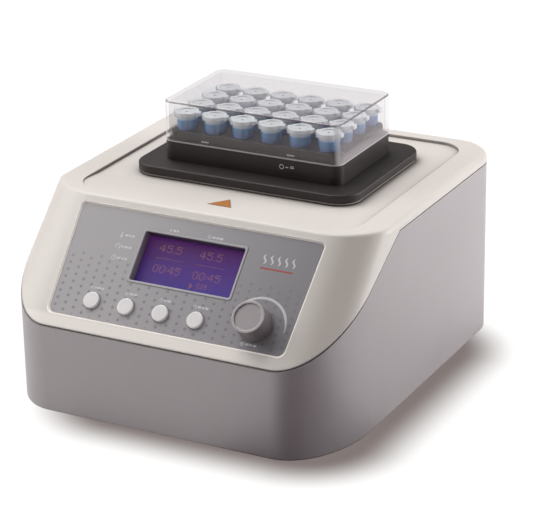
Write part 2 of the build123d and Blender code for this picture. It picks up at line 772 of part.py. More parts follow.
def chassis_screws():
    head_t, reach = 2.4, 8
    with BuildPart() as screws:
        discs(level(Z_CHASSIS_TOP), PILLARS, 3.8, head_t)
        discs(level(Z_CHASSIS - reach), PILLARS, 2.0, reach + CHASSIS_T)
        with BuildSketch(level(Z_CHASSIS_TOP + head_t)):
            with Locations(*PILLARS):
                RegularPolygon(1.8, 6)
        extrude(amount=-1.4, mode=CUT)
    return screws.part


def motor_body():
    with BuildPart() as motor:
        discs(level(Z_MOTOR), [CENTRE], 31.0, Z_CHASSIS - Z_MOTOR)
        discs(level(Z_MOTOR), [CENTRE], SHAFT_DRIVE_R + 0.08, 30.0, mode=CUT)
    return motor.part


def eccentric_shaft():
    foot = Z_MOTOR + 1
    with BuildPart() as shaft:
        discs(level(foot), [CENTRE], SHAFT_DRIVE_R, Z_WEIGHT1 - foot)
        discs(level(Z_WEIGHT1), [CENTRE], 12.0, Z_PIN - Z_WEIGHT1)
        discs(level(Z_PIN), [ECCENTRIC], PIN_R, 8.6)
    return shaft.part


def counterweight():
    # a segment on the side away from the pin, with a bored hub
    with BuildPart() as weight:
        with BuildSketch(level(Z_WEIGHT0)):
            with Locations(CENTRE):
                Circle(32)
                with Locations((22, 0)):
                    Rectangle(44, 70, mode=CUT)
                Circle(10)
                Circle(SHAFT_DRIVE_R, mode=CUT)
        extrude(amount=Z_WEIGHT1 - Z_WEIGHT0)
    return weight.part


def bearing_housings():
    floor = level(Z_CHASSIS_TOP)
    cup_h, cup_floor = 13, 2
    with BuildPart() as housings:
        with BuildSketch(floor):
            with Locations(CENTRE):
                Circle(30)
                with PolarLocations(24, 4, start_angle=45):
                    Circle(2.0, mode=CUT)
        extrude(amount=3)
        discs(floor, [CENTRE], 15, BEARING_T)
        discs(floor, [CENTRE], BEARING_R, BEARING_T, mode=CUT)
        # cups for the idler bearings
        discs(floor, IDLERS, 10.5, cup_h)
        discs(level(Z_CHASSIS_TOP + cup_floor), IDLERS, IDLER_BEARING_R, cup_h - cup_floor,
              mode=CUT)
    return housings.part


def ball_bearings():
    with BuildPart() as bearings:
        discs(level(Z_CHASSIS_TOP), [CENTRE], BEARING_R, BEARING_T,
              bore=SHAFT_DRIVE_R + RUNNING_GAP)
        discs(level(Z_CHASSIS_TOP + 2), IDLERS, IDLER_BEARING_R, 10,
              bore=IDLER_JOURNAL_R + RUNNING_GAP)
    return bearings.part


def idler_crank(place):
    z_foot, z_web, web_t = Z_CHASSIS_TOP + 3, 53.4, 4.0
    with BuildPart() as crank:
        discs(level(z_foot), [place], IDLER_JOURNAL_R, z_web - z_foot)
        discs(level(z_web), [place], 8.0, web_t)
        discs(level(z_web + web_t), shifted([place], ORBIT), 3.0, 13.0)
    return crank.part


# ----------------------------------------------------------- moving platform
Z_TRAY0, Z_TRAY1 = 66.0, 72.0
Z_HUB, Z_IDLER_BOSS = 58.4, 59.4     # undersides of the tray's hub and bosses
PLATE, PLATE_R = (149.2, 103.2), 14.5
Z_PLATE0, Z_PLATE1 = 119.9, 125.2
CORE = (106.0, 62.0)
Z_CORE = 109.0
Z_SINK = 91.2            # underside of the heat sink's base, above the fins
Z_PELTIER = Z_SINK + 6.0
Z_THERMAL = Z_PELTIER + 3.8
SENSOR_X, SENSOR_Z = 30, 105


def platform_tray():
    pins = shifted(IDLERS, ORBIT)
    with BuildPart() as tray:
        blocks(level(Z_TRAY0), [CENTRE], (164, 112), Z_TRAY1 - Z_TRAY0, corner=10)
        # hub round the eccentric pin, bosses round the idler pins
        discs(level(Z_HUB), [ECCENTRIC], 15, Z_TRAY0 - Z_HUB)
        discs(level(Z_IDLER_BOSS), pins, 7, Z_TRAY0 - Z_IDLER_BOSS)
        discs(level(Z_HUB), [ECCENTRIC], BEARING_R, Z_TRAY0 - Z_HUB, mode=CUT)
        discs(level(Z_HUB), pins, 3.06, 20, mode=CUT)
        # posts that carry the top plate
        discs(level(Z_TRAY1), grid(CENTRE, 119, 76, 2, 2), 4, Z_PLATE0 - Z_TRAY1)
        # long slots through the tray, left and right
        with BuildSketch(level(Z_TRAY0)):
            with Locations(*grid(CENTRE, 120, 0, 2, 1)):
                SlotOverall(60, 12, rotation=90)
        extrude(amount=Z_TRAY1 - Z_TRAY0, mode=CUT)
    return tray.part


def platform_bearing():
    with BuildPart() as bearing:
        discs(level(Z_HUB), [ECCENTRIC], BEARING_R, BEARING_T, bore=PIN_R + RUNNING_GAP)
    return bearing.part


def heat_sink():
    length = 64
    with BuildPart() as sink:
        blocks(level(Z_SINK), [CENTRE], (108, length), Z_PELTIER - Z_SINK)
        blocks(level(Z_TRAY1), grid(CENTRE, 6.6, 0, 17, 1), (1.8, length), Z_SINK - Z_TRAY1)
    return sink.part


def peltier_modules():
    with BuildPart() as modules:
        blocks(level(Z_PELTIER), grid(CENTRE, 50, 0, 2, 1), (40, 40), Z_THERMAL - Z_PELTIER)
    return modules.part


def thermal_plate():
    with BuildPart() as plate:
        blocks(level(Z_THERMAL), [CENTRE], CORE, Z_CORE - Z_THERMAL, corner=3)
        # sensor bore from the right-hand end
        discs(Plane.YZ.offset(CORE[0] / 2), [(CENTRE[1], SENSOR_Z)], 1.6, -24, mode=CUT)
    return plate.part


def temperature_sensor():
    with BuildPart() as sensor:
        discs(Plane.YZ.offset(SENSOR_X), [(CENTRE[1], SENSOR_Z)], 1.5, CORE[0] / 2 - SENSOR_X)
    return sensor.part


def insulation_sleeve():
    foot = 97.4
    with BuildPart() as sleeve:
        with BuildSketch(level(foot)):
            with Locations(CENTRE):
                RectangleRounded(*grow(CORE, 6.4), 4)
                RectangleRounded(*grow(CORE, 0.8), 3.2, mode=CUT)
        extrude(amount=Z_PLATE0 - foot)
    return sleeve.part


def platform_plate():
    with BuildPart() as plate:
        with BuildSketch(level(Z_PLATE0)):
            with Locations(CENTRE):
                RectangleRounded(*PLATE, PLATE_R)
                RectangleRounded(*grow(CORE, 1.0), 3, mode=CUT)
        extrude(amount=Z_PLATE1 - Z_PLATE0)
        fillet(plate.faces().sort_by(Axis.Z)[-1].outer_wire().edges(), 1.2)
        fillet(plate.faces().sort_by(Axis.Z)[0].outer_wire().edges(), 0.8)
    return plate.part


# ------------------------------------------------- tube block, tubes and lid
BLOCK, CORNER_R = (119.6, 73.3), 6.5
Z_LEDGE, Z_BLOCK = 137.2, 143.5
LEDGE = 3.2              # width of the ledge the lid stands on
Z_LID, LID_WALL = 162.7, 2.0
TUBES = grid(CENTRE, 19.2, 17.4, 6, 4)
TUBE_R, COLLAR_R, WELL_R = 5.4, 6.5, 5.6
TUBE_BORE_R = TUBE_R - 1.1
Z_WELL = 113.0
Z_TUBE0, Z_TUBE1 = 113.4, 152.4
Z_COLLAR = Z_BLOCK + 0.3
TIP_H = 12               # tapering lower end of a tube
CAP_R, Z_CAP = 7.3, 154.6


def tube_block():
    with BuildPart() as block:
        blocks(level(Z_CORE), [CENTRE], CORE, Z_PLATE1 - Z_CORE, corner=2.8)
        blocks(level(Z_PLATE1), [CENTRE], BLOCK, Z_LEDGE - Z_PLATE1, corner=CORNER_R)
        blocks(level(Z_LEDGE), [CENTRE], grow(BLOCK, -2 * LEDGE), Z_BLOCK - Z_LEDGE,
               corner=CORNER_R - 2)
        fillet(block.faces().sort_by(Axis.Z)[-1].outer_wire().edges(), 0.8)
        discs(level(Z_BLOCK), TUBES, WELL_R, Z_WELL - Z_BLOCK, mode=CUT)
    return block.part


def sample_tubes():
    z_tip = Z_TUBE0 + TIP_H
    with BuildPart() as tubes:
        discs(level(z_tip), TUBES, TUBE_R, -TIP_H, taper=14)
        discs(level(z_tip), TUBES, TUBE_R, Z_COLLAR - z_tip)
        discs(level(Z_COLLAR), TUBES, COLLAR_R, Z_TUBE1 - Z_COLLAR)
        discs(level(Z_TUBE1), TUBES, TUBE_BORE_R, z_tip - Z_TUBE1, mode=CUT)
        # lug the cap's hinge grows from
        blocks(level(Z_TUBE1), shifted(TUBES, -COLLAR_R - 0.6), (1.8, 3.2), -2.4)
    return tubes.part


def tube_caps():
    with BuildPart() as caps:
        # disc with a lifting tab on the right and a hinge on the left
        with BuildSketch(level(Z_TUBE1)):
            with Locations(*TUBES):
                Circle(CAP_R)
                with Locations((CAP_R + 0.4, 0)):
                    RectangleRounded(2.8, 4.6, 1.1)
                with Locations((-CAP_R - 0.2, 0)):
                    Rectangle(1.6, 3.4)
        extrude(amount=Z_CAP - Z_TUBE1)
        # plug in the tube's bore
        discs(level(Z_TUBE1), TUBES, TUBE_BORE_R, -4.0)
        # shallow dish with a moulding gate at its centre
        discs(level(Z_CAP), TUBES, 5.3, -0.7, bore=0.9, mode=CUT)
    return caps.part


def lid():
    with BuildPart() as cover:
        blocks(level(Z_LEDGE), [CENTRE], BLOCK, Z_LID - Z_LEDGE, corner=CORNER_R)
        fillet(cover.faces().sort_by(Axis.Z)[-1].outer_wire().edges(), 1.6)
        blocks(level(Z_LEDGE), [CENTRE], grow(BLOCK, -2 * LID_WALL), Z_LID - LID_WALL - Z_LEDGE,
               corner=CORNER_R - LID_WALL, mode=CUT)
    return cover.part


# --------------------------------------------------------------- electronics
def main_board():
    board_t = 1.6
    top = level(Z_MAIN_BOARD + board_t)
    with BuildPart() as board:
        with BuildSketch(level(Z_MAIN_BOARD)):
            with Locations(MAIN_BOARD_CENTRE):
                RectangleRounded(130, 62, 2)
            with Locations(*STUDS):
                Circle(1.6, mode=CUT)
        extrude(amount=board_t)
        # low flat components
        with BuildSketch(top):
            with Locations((-30, -60)):
                Rectangle(14, 14)
            with Locations((4, -46)):
                Rectangle(18, 8)
        extrude(amount=1.6)
        # tall round components
        discs(top, [(40, -48), (40, -64)], 5, 16)
        # tall rectangular components
        with BuildSketch(top):
            with Locations(*grid((0, -84), 24, 0, 3, 1)):
                Rectangle(16, 8)
            with Locations((12, -66)):
                Rectangle(22, 10)
        extrude(amount=9)
    return board.part


def power_supply():
    place, height = (-58, 35), 27
    with BuildPart() as supply:
        blocks(level(Z_BASE_TOP), [place], (44, 92), height, corner=2)
        with BuildSketch(level(Z_BASE_TOP + height)):
            with Locations(*grid(place, 7, 0, 5, 1)):
                SlotOverall(60, 3, rotation=90)
        extrude(amount=-1.2, mode=CUT)
    return supply.part


# -------------------------------------------------------- hot surface marker
def heat_marker():
    # thin triangle lying on the recess ramp
    side, thickness = 15.5, 0.2
    with BuildPart() as marker:
        with BuildSketch(level(Z_RECESS - 0.6)):
            with Locations((3.8, -43.5)):
                Triangle(a=side, b=side, c=side)
        extrude(amount=3.0)
        trim_to_side_profile([(RAMP_Y0, RAMP_Z0), (RAMP_Y1, Z_RECESS),
                              (RAMP_Y1, Z_RECESS + thickness), (RAMP_Y0, RAMP_Z0 + thickness)])
    return marker.part


# Each function is named after the piece it builds.
PIECES = [
    lower_housing, upper_cover, base_plate, rubber_feet, foot_screws, case_screws,
    panel_overlay, display_bezel, display_window, lcd_glass, lcd_backlight, control_board,
    encoder_body, encoder_nut, encoder_plunger, encoder_shaft, knob,
    rear_panel, power_inlet, inlet_pins, fuse_drawer, switch_body, power_rocker, data_port,
    fan_frame, fan_rotor, fan_guard, fan_screws,
    chassis_plate, chassis_pillars, chassis_screws, motor_body, eccentric_shaft,
    counterweight, bearing_housings, ball_bearings,
    platform_tray, platform_bearing, heat_sink, peltier_modules, thermal_plate,
    temperature_sensor, insulation_sleeve, platform_plate,
    tube_block, sample_tubes, tube_caps, lid, main_board, power_supply, heat_marker]

for build in PIECES:
    save(build(), build.__name__)
for number, place in enumerate(BUTTONS, start=1):
    save(button(place), f"button_{number}")
for number, place in enumerate(IDLERS, start=1):
    save(idler_crank(place), f"idler_crank_{number}")
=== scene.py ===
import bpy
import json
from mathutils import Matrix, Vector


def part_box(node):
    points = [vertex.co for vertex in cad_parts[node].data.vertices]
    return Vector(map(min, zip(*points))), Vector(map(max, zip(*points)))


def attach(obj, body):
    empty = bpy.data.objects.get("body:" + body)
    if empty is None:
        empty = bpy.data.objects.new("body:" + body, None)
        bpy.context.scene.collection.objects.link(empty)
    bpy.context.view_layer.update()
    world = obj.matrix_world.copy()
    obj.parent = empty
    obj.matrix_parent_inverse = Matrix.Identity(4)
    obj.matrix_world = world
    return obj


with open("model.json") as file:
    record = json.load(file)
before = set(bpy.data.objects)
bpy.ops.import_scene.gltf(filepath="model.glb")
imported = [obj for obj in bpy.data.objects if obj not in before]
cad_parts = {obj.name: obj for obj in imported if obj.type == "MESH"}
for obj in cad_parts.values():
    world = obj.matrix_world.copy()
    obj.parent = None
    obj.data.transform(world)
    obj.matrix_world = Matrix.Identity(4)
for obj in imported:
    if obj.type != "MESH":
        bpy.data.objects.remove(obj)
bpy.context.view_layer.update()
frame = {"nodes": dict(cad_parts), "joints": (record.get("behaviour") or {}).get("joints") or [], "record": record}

import json
import math

import bmesh
import bpy
from mathutils import Matrix, Vector

NODES = frame["nodes"]
JOINTS = {joint["name"]: joint for joint in frame["joints"]}
MM = 0.001

# ---------------------------------------------------------------- the control slope
# Its axes: x to the right, SLOPE_UP up the slope, SLOPE_OUT square out of it.
X_AXIS = Vector((1, 0, 0))
SLOPE_OUT = -Vector(JOINTS["button_1_press"]["axis"]).normalized()
SLOPE_UP = Vector((0.0, SLOPE_OUT.z, -SLOPE_OUT.y)).normalized()


def span(node, axis):
    """Lowest and highest place of a node's vertices along an axis."""
    places = [v.co.dot(axis) for v in NODES[node].data.vertices]
    return min(places), max(places)


OVERLAY_TOP = span("panel_overlay", SLOPE_OUT)[1]
OVERLAY_X = sum(span("panel_overlay", X_AXIS)) / 2
OVERLAY_Y = sum(span("panel_overlay", SLOPE_UP)) / 2
LCD_TOP = span("lcd_glass", SLOPE_OUT)[1]


def slope_point(x, y, height, base=OVERLAY_TOP):
    """Point at x, y mm along the slope from the overlay's centre, height mm above the base."""
    across = Vector((OVERLAY_X + x * MM, 0, 0))
    return across + SLOPE_UP * (OVERLAY_Y + y * MM) + SLOPE_OUT * (base + height * MM)


def slope_box(node):
    """Centre x, y, width and height of a node on the slope, in mm from the overlay's centre."""
    left, right = span(node, X_AXIS)
    low, high = span(node, SLOPE_UP)
    centre_x = ((left + right) / 2 - OVERLAY_X) / MM
    centre_y = ((low + high) / 2 - OVERLAY_Y) / MM
    return centre_x, centre_y, (right - left) / MM, (high - low) / MM


# ---------------------------------------------------------------- node helpers
MATS = {}


def grade(rgb, gain):
    """A colour made lighter or darker, held at 1."""
    return tuple(min(1.0, value * gain) for value in rgb)


class Net:
    """Builds one node material and files it in MATS. Lengths are in metres."""

    def __init__(self, name):
        self.name = name
        self.material = bpy.data.materials.new(name)
        self.material.use_nodes = True
        self.tree = self.material.node_tree
        self.tree.nodes.clear()
        self.output = self.tree.nodes.new("ShaderNodeOutputMaterial")
        self.obj = self.tree.nodes.new("ShaderNodeTexCoord").outputs["Object"]

    def put(self, node, key, value):
        """Link or set one input; a node stands for its first output."""
        socket = node.inputs[key]
        if isinstance(value, bpy.types.NodeSocket):
            self.tree.links.new(value, socket)
        elif isinstance(value, bpy.types.Node):
            self.tree.links.new(value.outputs[0], socket)
        elif isinstance(value, tuple) and socket.type == "RGBA":
            socket.default_value = (*value, 1.0)
        else:
            socket.default_value = value

    def node(self, kind, inputs=None, **props):
        made = self.tree.nodes.new("ShaderNode" + kind)
        for key, value in props.items():
            setattr(made, key, value)
        for key, value in (inputs or {}).items():
            self.put(made, key, value)
        return made

    # arithmetic
    def math(self, operation, first, second=0.0, clamp=False):
        inputs = {0: first, 1: second, 2: 0.0}
        return self.node("Math", inputs, operation=operation, use_clamp=clamp).outputs[0]

    def add(self, first, second, clamp=False):
        return self.math("ADD", first, second, clamp)

    def sub(self, first, second):
        return self.math("SUBTRACT", first, second)

    def mul(self, first, second, clamp=False):
        return self.math("MULTIPLY", first, second, clamp)

    def div(self, first, second):
        return self.math("DIVIDE", first, second)

    def max(self, first, second):
        return self.math("MAXIMUM", first, second)

    def abs(self, value):
        return self.math("ABSOLUTE", value)

    def hypot(self, first, second):
        return self.math("SQRT", self.add(self.mul(first, first), self.mul(second, second)))

    def corner_distance(self, past_side, past_end, radius):
        """Distance outside a round-cornered rectangle, from how far each core side is passed."""
        return self.sub(self.hypot(self.max(past_side, 0.0), self.max(past_end, 0.0)), radius)

    def dot(self, first, second):
        made = self.node("VectorMath", {0: first, 1: second}, operation="DOT_PRODUCT")
        return made.outputs["Value"]

    def split(self, vector):
        return self.node("SeparateXYZ", {0: vector}).outputs

    def normal(self):
        return self.node("NewGeometry").outputs["Normal"]

    def ramp(self, value, start, end, out=(0.0, 1.0), smooth=False):
        """Map start..end to the out pair, held at both ends."""
        kind = "SMOOTHSTEP" if smooth else "LINEAR"
        inputs = {0: value, 1: start, 2: end, 3: out[0], 4: out[1]}
        return self.node("MapRange", inputs, interpolation_type=kind).outputs[0]

    def fall(self, value, start, end, smooth=False):
        return self.ramp(value, start, end, (1.0, 0.0), smooth)

    def vary(self, noise, low=0.0, high=1.0):
        """Stretch the middle of a noise to low..high."""
        return self.ramp(noise, 0.3, 0.7, (low, high))

    # places on the control slope, in mm from the overlay's centre and face
    def slope_xy(self):
        x = self.div(self.sub(self.dot(self.obj, tuple(X_AXIS)), OVERLAY_X), MM)
        y = self.div(self.sub(self.dot(self.obj, tuple(SLOPE_UP)), OVERLAY_Y), MM)
        return x, y

    def slope_height(self):
        return self.div(self.sub(self.dot(self.obj, tuple(SLOPE_OUT)), OVERLAY_TOP), MM)

    # textures and surface
    def noise(self, scale, detail=2.0, rough=0.5, vector=None):
        inputs = {
            "Vector": vector or self.obj,
            "Scale": scale,
            "Detail": detail,
            "Roughness": rough,
        }
        return self.node("TexNoise", inputs).outputs[0]

    def stretched(self, scale):
        return self.node("Mapping", {"Vector": self.obj, "Scale": scale}).outputs[0]

    def bevel(self, radius, samples=4):
        return self.node("Bevel", {"Radius": radius}, samples=samples).outputs[0]

    def edge(self, radius, start=0.02, end=0.25, samples=4):
        """0 on flats, 1 on sharp edges, from the bent normal."""
        bent = self.dot(self.bevel(radius, samples), self.normal())
        return self.ramp(self.sub(1.0, bent), start, end)

    def openness(self, distance, samples):
        made = self.node("AmbientOcclusion", {"Distance": distance}, samples=samples)
        return made.outputs["AO"]

    def crevice(self, distance, start=0.30, end=0.75, samples=6):
        """1 deep in a gap, 0 on open faces."""
        return self.fall(self.openness(distance, samples), start, end)

    def bump(self, height, depth, strength=1.0, normal=None):
        inputs = {"Height": height, "Distance": depth, "Strength": strength}
        if normal is not None:
            inputs["Normal"] = normal
        return self.node("Bump", inputs).outputs[0]

    # colour
    def mix(self, factor, first, second):
        made = self.node("Mix", data_type="RGBA", blend_type="MIX")
        for key, value in ((0, factor), (6, first), (7, second)):
            self.put(made, key, value)
        return made.outputs[2]

    def tint(self, colour, towards, mask, amount):
        return self.mix(self.mul(mask, amount), colour, towards)

    def mottle(self, noise, rgb, low, high):
        return self.mix(self.vary(noise), grade(rgb, low), grade(rgb, high))

    # shaders
    def bsdf(self, **inputs):
        named = {key.replace("_", " "): value for key, value in inputs.items()}
        return self.node("BsdfPrincipled", named)

    def see_through(self, rgb):
        return self.node("BsdfTransparent", {"Color": rgb})

    def blend(self, factor, first, second):
        return self.node("MixShader", {0: factor, 1: first, 2: second})

    def fresnel(self, ior):
        return self.node("Fresnel", {"IOR": ior}).outputs[0]

    def faint_shadow(self, shader, rgb):
        """Let shadow rays see only a faint tint."""
        shadow = self.see_through(rgb)
        return self.blend(self.node("LightPath").outputs["Is Shadow Ray"], shader, shadow)

    def done(self, shader):
        self.tree.links.new(shader.outputs[0], self.output.inputs["Surface"])
        MATS[self.name] = self.material


# ---------------------------------------------------------------- families of materials
def plastic(name, rgb, rough, grain, depth, var, wear, edge_rgb=None, metallic=0.0):
    """Moulded plastic: var is the unevenness of colour, wear the lightening of edges."""
    net = Net(name)
    bevel_radius = 0.0004
    big = net.noise(30.0, detail=4.0, rough=0.6)
    fine = net.noise(grain, rough=0.6)
    col = net.mottle(big, rgb, 1 - var, 1 + var)
    col = net.tint(col, grade(rgb, 0.8), net.ramp(fine, 0.35, 0.75), amount=var * 2.0)
    rubbed = net.vary(net.noise(220.0, detail=3.0), 0.3 * wear, wear)
    edge = net.edge(bevel_radius * 1.6)
    col = net.tint(col, edge_rgb or grade(rgb, 1.5), edge, rubbed)
    net.done(net.bsdf(
        Base_Color=col,
        Roughness=net.add(net.vary(big, rough - 0.05, rough + 0.05), net.vary(fine, -0.03, 0.03)),
        Normal=net.bump(fine, depth, normal=net.bevel(bevel_radius)),
        Metallic=metallic, Coat_Roughness=0.12))


def metal(name, rgb, rough, stretch=(40.0, 1800.0, 1800.0)):
    """Bare metal with fine lines; stretch is the line noise's scale per axis."""
    net = Net(name)
    bevel_radius = 0.0003
    line = net.noise(1.0, detail=3.0, rough=0.6, vector=net.stretched(stretch))
    big = net.noise(45.0, detail=3.0, rough=0.6)
    col = net.mottle(line, rgb, 0.92, 1.08)
    col = net.tint(col, grade(rgb, 0.7), net.ramp(big, 0.45, 0.8), amount=0.25)
    col = net.tint(col, grade(rgb, 1.35), net.edge(bevel_radius * 1.6), amount=0.3)
    net.done(net.bsdf(
        Base_Color=col,
        Roughness=net.add(net.vary(line, rough - 0.08, rough + 0.08), net.vary(big, -0.04, 0.06)),
        Normal=net.bump(line, depth=0.000006, normal=net.bevel(bevel_radius)),
        Metallic=1.0))


def black(name, rgb, rough, edge_rgb, wear, grain, depth):
    """Bead-blasted black anodising with lighter rubbed edges."""
    net = Net(name)
    big = net.noise(26.0, detail=4.0, rough=0.6)
    fine = net.noise(grain, detail=3.0, rough=0.7)
    col = net.mottle(big, rgb, 0.85, 1.25)
    col = net.tint(col, grade(rgb, 2.2), net.ramp(fine, 0.45, 0.75), amount=0.3)
    rubbed = net.vary(net.noise(300.0, detail=3.0), 0.35 * wear, wear)
    col = net.tint(col, edge_rgb, net.edge(0.0008), rubbed)
    net.done(net.bsdf(
        Base_Color=col,
        Roughness=net.add(net.vary(big, rough - 0.05, rough + 0.06), net.vary(fine, -0.05, 0.05)),
        Normal=net.bump(fine, depth, normal=net.bevel(0.0004)),
        Specular_IOR_Level=0.45))


def ink(name, rgb, thin=0.0):
    """Screen-printed ink, slightly uneven; thin is how much shows through."""
    net = Net(name)
    fine = net.noise(2600.0, detail=3.0, rough=0.7)
    shader = net.bsdf(
        Base_Color=net.mix(net.ramp(fine, 0.35, 0.7), grade(rgb, 0.92), grade(rgb, 1.04)),
        Roughness=net.vary(fine, 0.45, 0.6),
        Normal=net.bump(fine, depth=0.000006, strength=0.6))
    if thin > 0:
        shader = net.blend(net.vary(fine, thin, thin + 0.08), shader, net.node("BsdfTransparent"))
    net.done(shader)


# ---------------------------------------------------------------- single materials
def mat_cover():
    """White cover paint, shaded in its gaps and lit along the panel's seat."""
    net = Net("cover_white")
    rgb = (0.75, 0.698, 0.658)
    big = net.noise(14.0, detail=4.0, rough=0.55)
    fine = net.noise(1500.0, detail=3.0, rough=0.7)
    col = net.mottle(big, rgb, 0.985, 1.015)
    col = net.tint(col, grade(rgb, 0.82), net.ramp(fine, 0.35, 0.7), amount=0.06)
    rubbed = net.vary(net.noise(160.0, detail=3.0), 0.06, 0.16)
    edge = net.edge(0.0012, start=0.01, end=0.2)
    col = net.tint(col, (0.80, 0.765, 0.735), edge, rubbed)
    # painted shade where the surface turns from the front to the right
    facing = net.split(net.normal())
    turn = net.mul(net.ramp(facing[0], 0.10, 0.36, smooth=True),
                   net.fall(facing[0], 0.52, 0.93, smooth=True))
    turn = net.mul(turn, net.fall(facing[1], -0.40, -0.18))
    col = net.tint(col, (0.34, 0.285, 0.25), turn, amount=0.34)
    # shade in hollows, left out at the level of the panel's face
    height = net.slope_height()
    off_panel = net.ramp(net.abs(net.add(height, 0.5)), 1.5, 3.0)
    hollow = net.ramp(net.openness(0.012, samples=8), 0.45, 0.94, out=(0.72, 0.0))
    col = net.tint(col, (0.20, 0.175, 0.165), hollow, off_panel)
    col = net.tint(col, (0.10, 0.085, 0.08), net.crevice(0.0022), off_panel)
    # painted highlight and a faint painted glow on the rounded rim of the control panel's seat; mm on the slope
    seat_half_width, seat_taper, seat_half_height, seat_corner = 75.2, 0.0429, 32.0, 3.0
    x, y = net.slope_xy()
    past_side = net.add(net.sub(net.abs(x), net.mul(y, seat_taper)), -seat_half_width)
    past_end = net.add(net.abs(y), -seat_half_height)
    away = net.corner_distance(past_side, past_end, seat_corner)
    rim = net.mul(net.ramp(away, -0.3, 0.0), net.fall(away, 0.80, 1.65, smooth=True))
    rim = net.mul(rim, net.mul(net.ramp(height, -3.0, -2.0),
                               net.ramp(y, 33.0, 35.5, out=(1.0, 0.6))))
    # painted light on the strip below the panel, the brightest part of the slope
    painted_light_strip = net.mul(net.fall(y, -38.0, -34.5, smooth=True),
                    net.fall(x, 35.0, 88.0, smooth=True))
    painted_light_strip_gain = net.ramp(x, -105.0, -70.0, out=(0.25, 0.85))
    col = net.tint(col, (0.955, 0.892, 0.838), painted_light_strip, painted_light_strip_gain)
    col = net.tint(col, (0.92, 0.87, 0.83), rim, amount=0.85)
    net.done(net.bsdf(
        Base_Color=col,
        Roughness=net.add(net.vary(big, 0.36, 0.42), net.vary(fine, -0.03, 0.04)),
        Normal=net.bump(fine, depth=0.000016, normal=net.bevel(0.0007)),
        Coat_Weight=0.05, Coat_Roughness=0.35, Specular_IOR_Level=0.4,
        Emission_Color=(0.95, 0.90, 0.86), Emission_Strength=net.mul(rim, 0.25)))


def mat_housing():
    """Semi-metallic grey paint: darkens where it mirrors the unlit room."""
    net = Net("housing_grey")
    rgb = (0.50, 0.462, 0.475)
    big = net.noise(11.0, detail=4.0, rough=0.55)
    flake = net.noise(4200.0, rough=0.8)
    fine = net.noise(900.0, detail=3.0, rough=0.7)
    col = net.mottle(big, rgb, 0.97, 1.03)
    col = net.tint(col, grade(rgb, 1.5), net.ramp(flake, 0.5, 0.75), amount=0.18)
    col = net.tint(col, (0.66, 0.64, 0.65), net.edge(0.0009), amount=0.06)
    # painted shade: the right flank deepens towards the front, and the front face a little
    forward = net.fall(net.split(net.obj)[1], -0.11, 0.09)
    painted_shade_flank = net.ramp(net.split(net.normal())[0], 0.7, 1.0)
    col = net.tint(col, grade(rgb, 0.55), net.mul(forward, painted_shade_flank), amount=0.44)
    face = net.ramp(net.mul(net.split(net.normal())[1], -1.0), 0.7, 1.0)
    col = net.tint(col, grade(rgb, 0.55), face, amount=0.20)
    # the rim under the cover's skirt lies in its shade
    gap = net.crevice(0.0042, start=0.38, end=0.88, samples=8)
    rim = net.ramp(net.split(net.normal())[2], 0.12, 0.40)
    gap = net.max(gap, net.mul(rim, 0.70))
    col = net.mix(gap, col, (0.06, 0.052, 0.052))
    keep = net.sub(1.0, gap)
    net.done(net.bsdf(
        Base_Color=col,
        Roughness=net.add(net.vary(big, 0.40, 0.46), net.vary(flake, -0.04, 0.05)),
        Normal=net.bump(fine, depth=0.000010, normal=net.bevel(0.00025)),
        Metallic=net.mul(keep, 0.55), Coat_Weight=net.mul(keep, 0.25), Coat_Roughness=0.25,
        Specular_IOR_Level=net.mul(keep, 0.5)))


def mat_panel():
    """Printed overlay film: fine satin texture and the fading field of staggered dots."""
    net = Net("panel_grey")
    rgb = (0.425, 0.404, 0.420)
    x, y = net.slope_xy()
    # dot pitches, and the place of one dot left of and above the centre, in mm
    pitch_x, pitch_y, left, above = 6.2, 4.5, 74.0, 1.6
    column = net.div(net.add(x, left), pitch_x)
    nearest = net.math("ROUND", column)
    stagger = net.mul(net.math("MODULO", net.abs(nearest), 2.0), 0.5)
    row = net.add(net.div(net.sub(y, above), pitch_y), stagger)
    off_x = net.mul(net.sub(column, nearest), pitch_x)
    off_y = net.mul(net.sub(row, net.math("ROUND", row)), pitch_y)
    dot = net.fall(net.hypot(off_x, off_y), 0.72, 1.20, smooth=True)
    # the field fades up the slope, and stops there and near the overlay's sides and foot
    fade = net.ramp(y, -18.0, 6.2, out=(1.0, 0.62))
    top_cut = net.fall(y, 4.9, 5.2)
    edge_cut = net.mul(net.fall(net.abs(x), 77.0, 77.6), net.ramp(y, -34.4, -33.6))
    dots = net.mul(net.mul(dot, fade), net.mul(top_cut, edge_cut))
    big = net.noise(20.0, detail=3.0)
    fine = net.noise(2200.0, rough=0.7)
    col = net.mottle(big, rgb, 0.985, 1.015)
    # darker towards the right
    col = net.tint(col, (0.195, 0.184, 0.206), net.ramp(x, -40.0, 80.0), amount=0.84)
    col = net.tint(col, grade(rgb, 0.75), net.ramp(fine, 0.35, 0.7), amount=0.08)
    col = net.tint(col, (0.165, 0.150, 0.185), dots, amount=0.60)
    film = net.bump(fine, depth=0.00001, strength=0.7, normal=net.bevel(0.00025))
    net.done(net.bsdf(
        Base_Color=col,
        Roughness=net.add(net.vary(fine, 0.42, 0.52), net.mul(dots, -0.1)),
        Normal=net.bump(dots, depth=0.00002, strength=0.4, normal=film),
        Coat_Weight=0.1, Coat_Roughness=0.35))


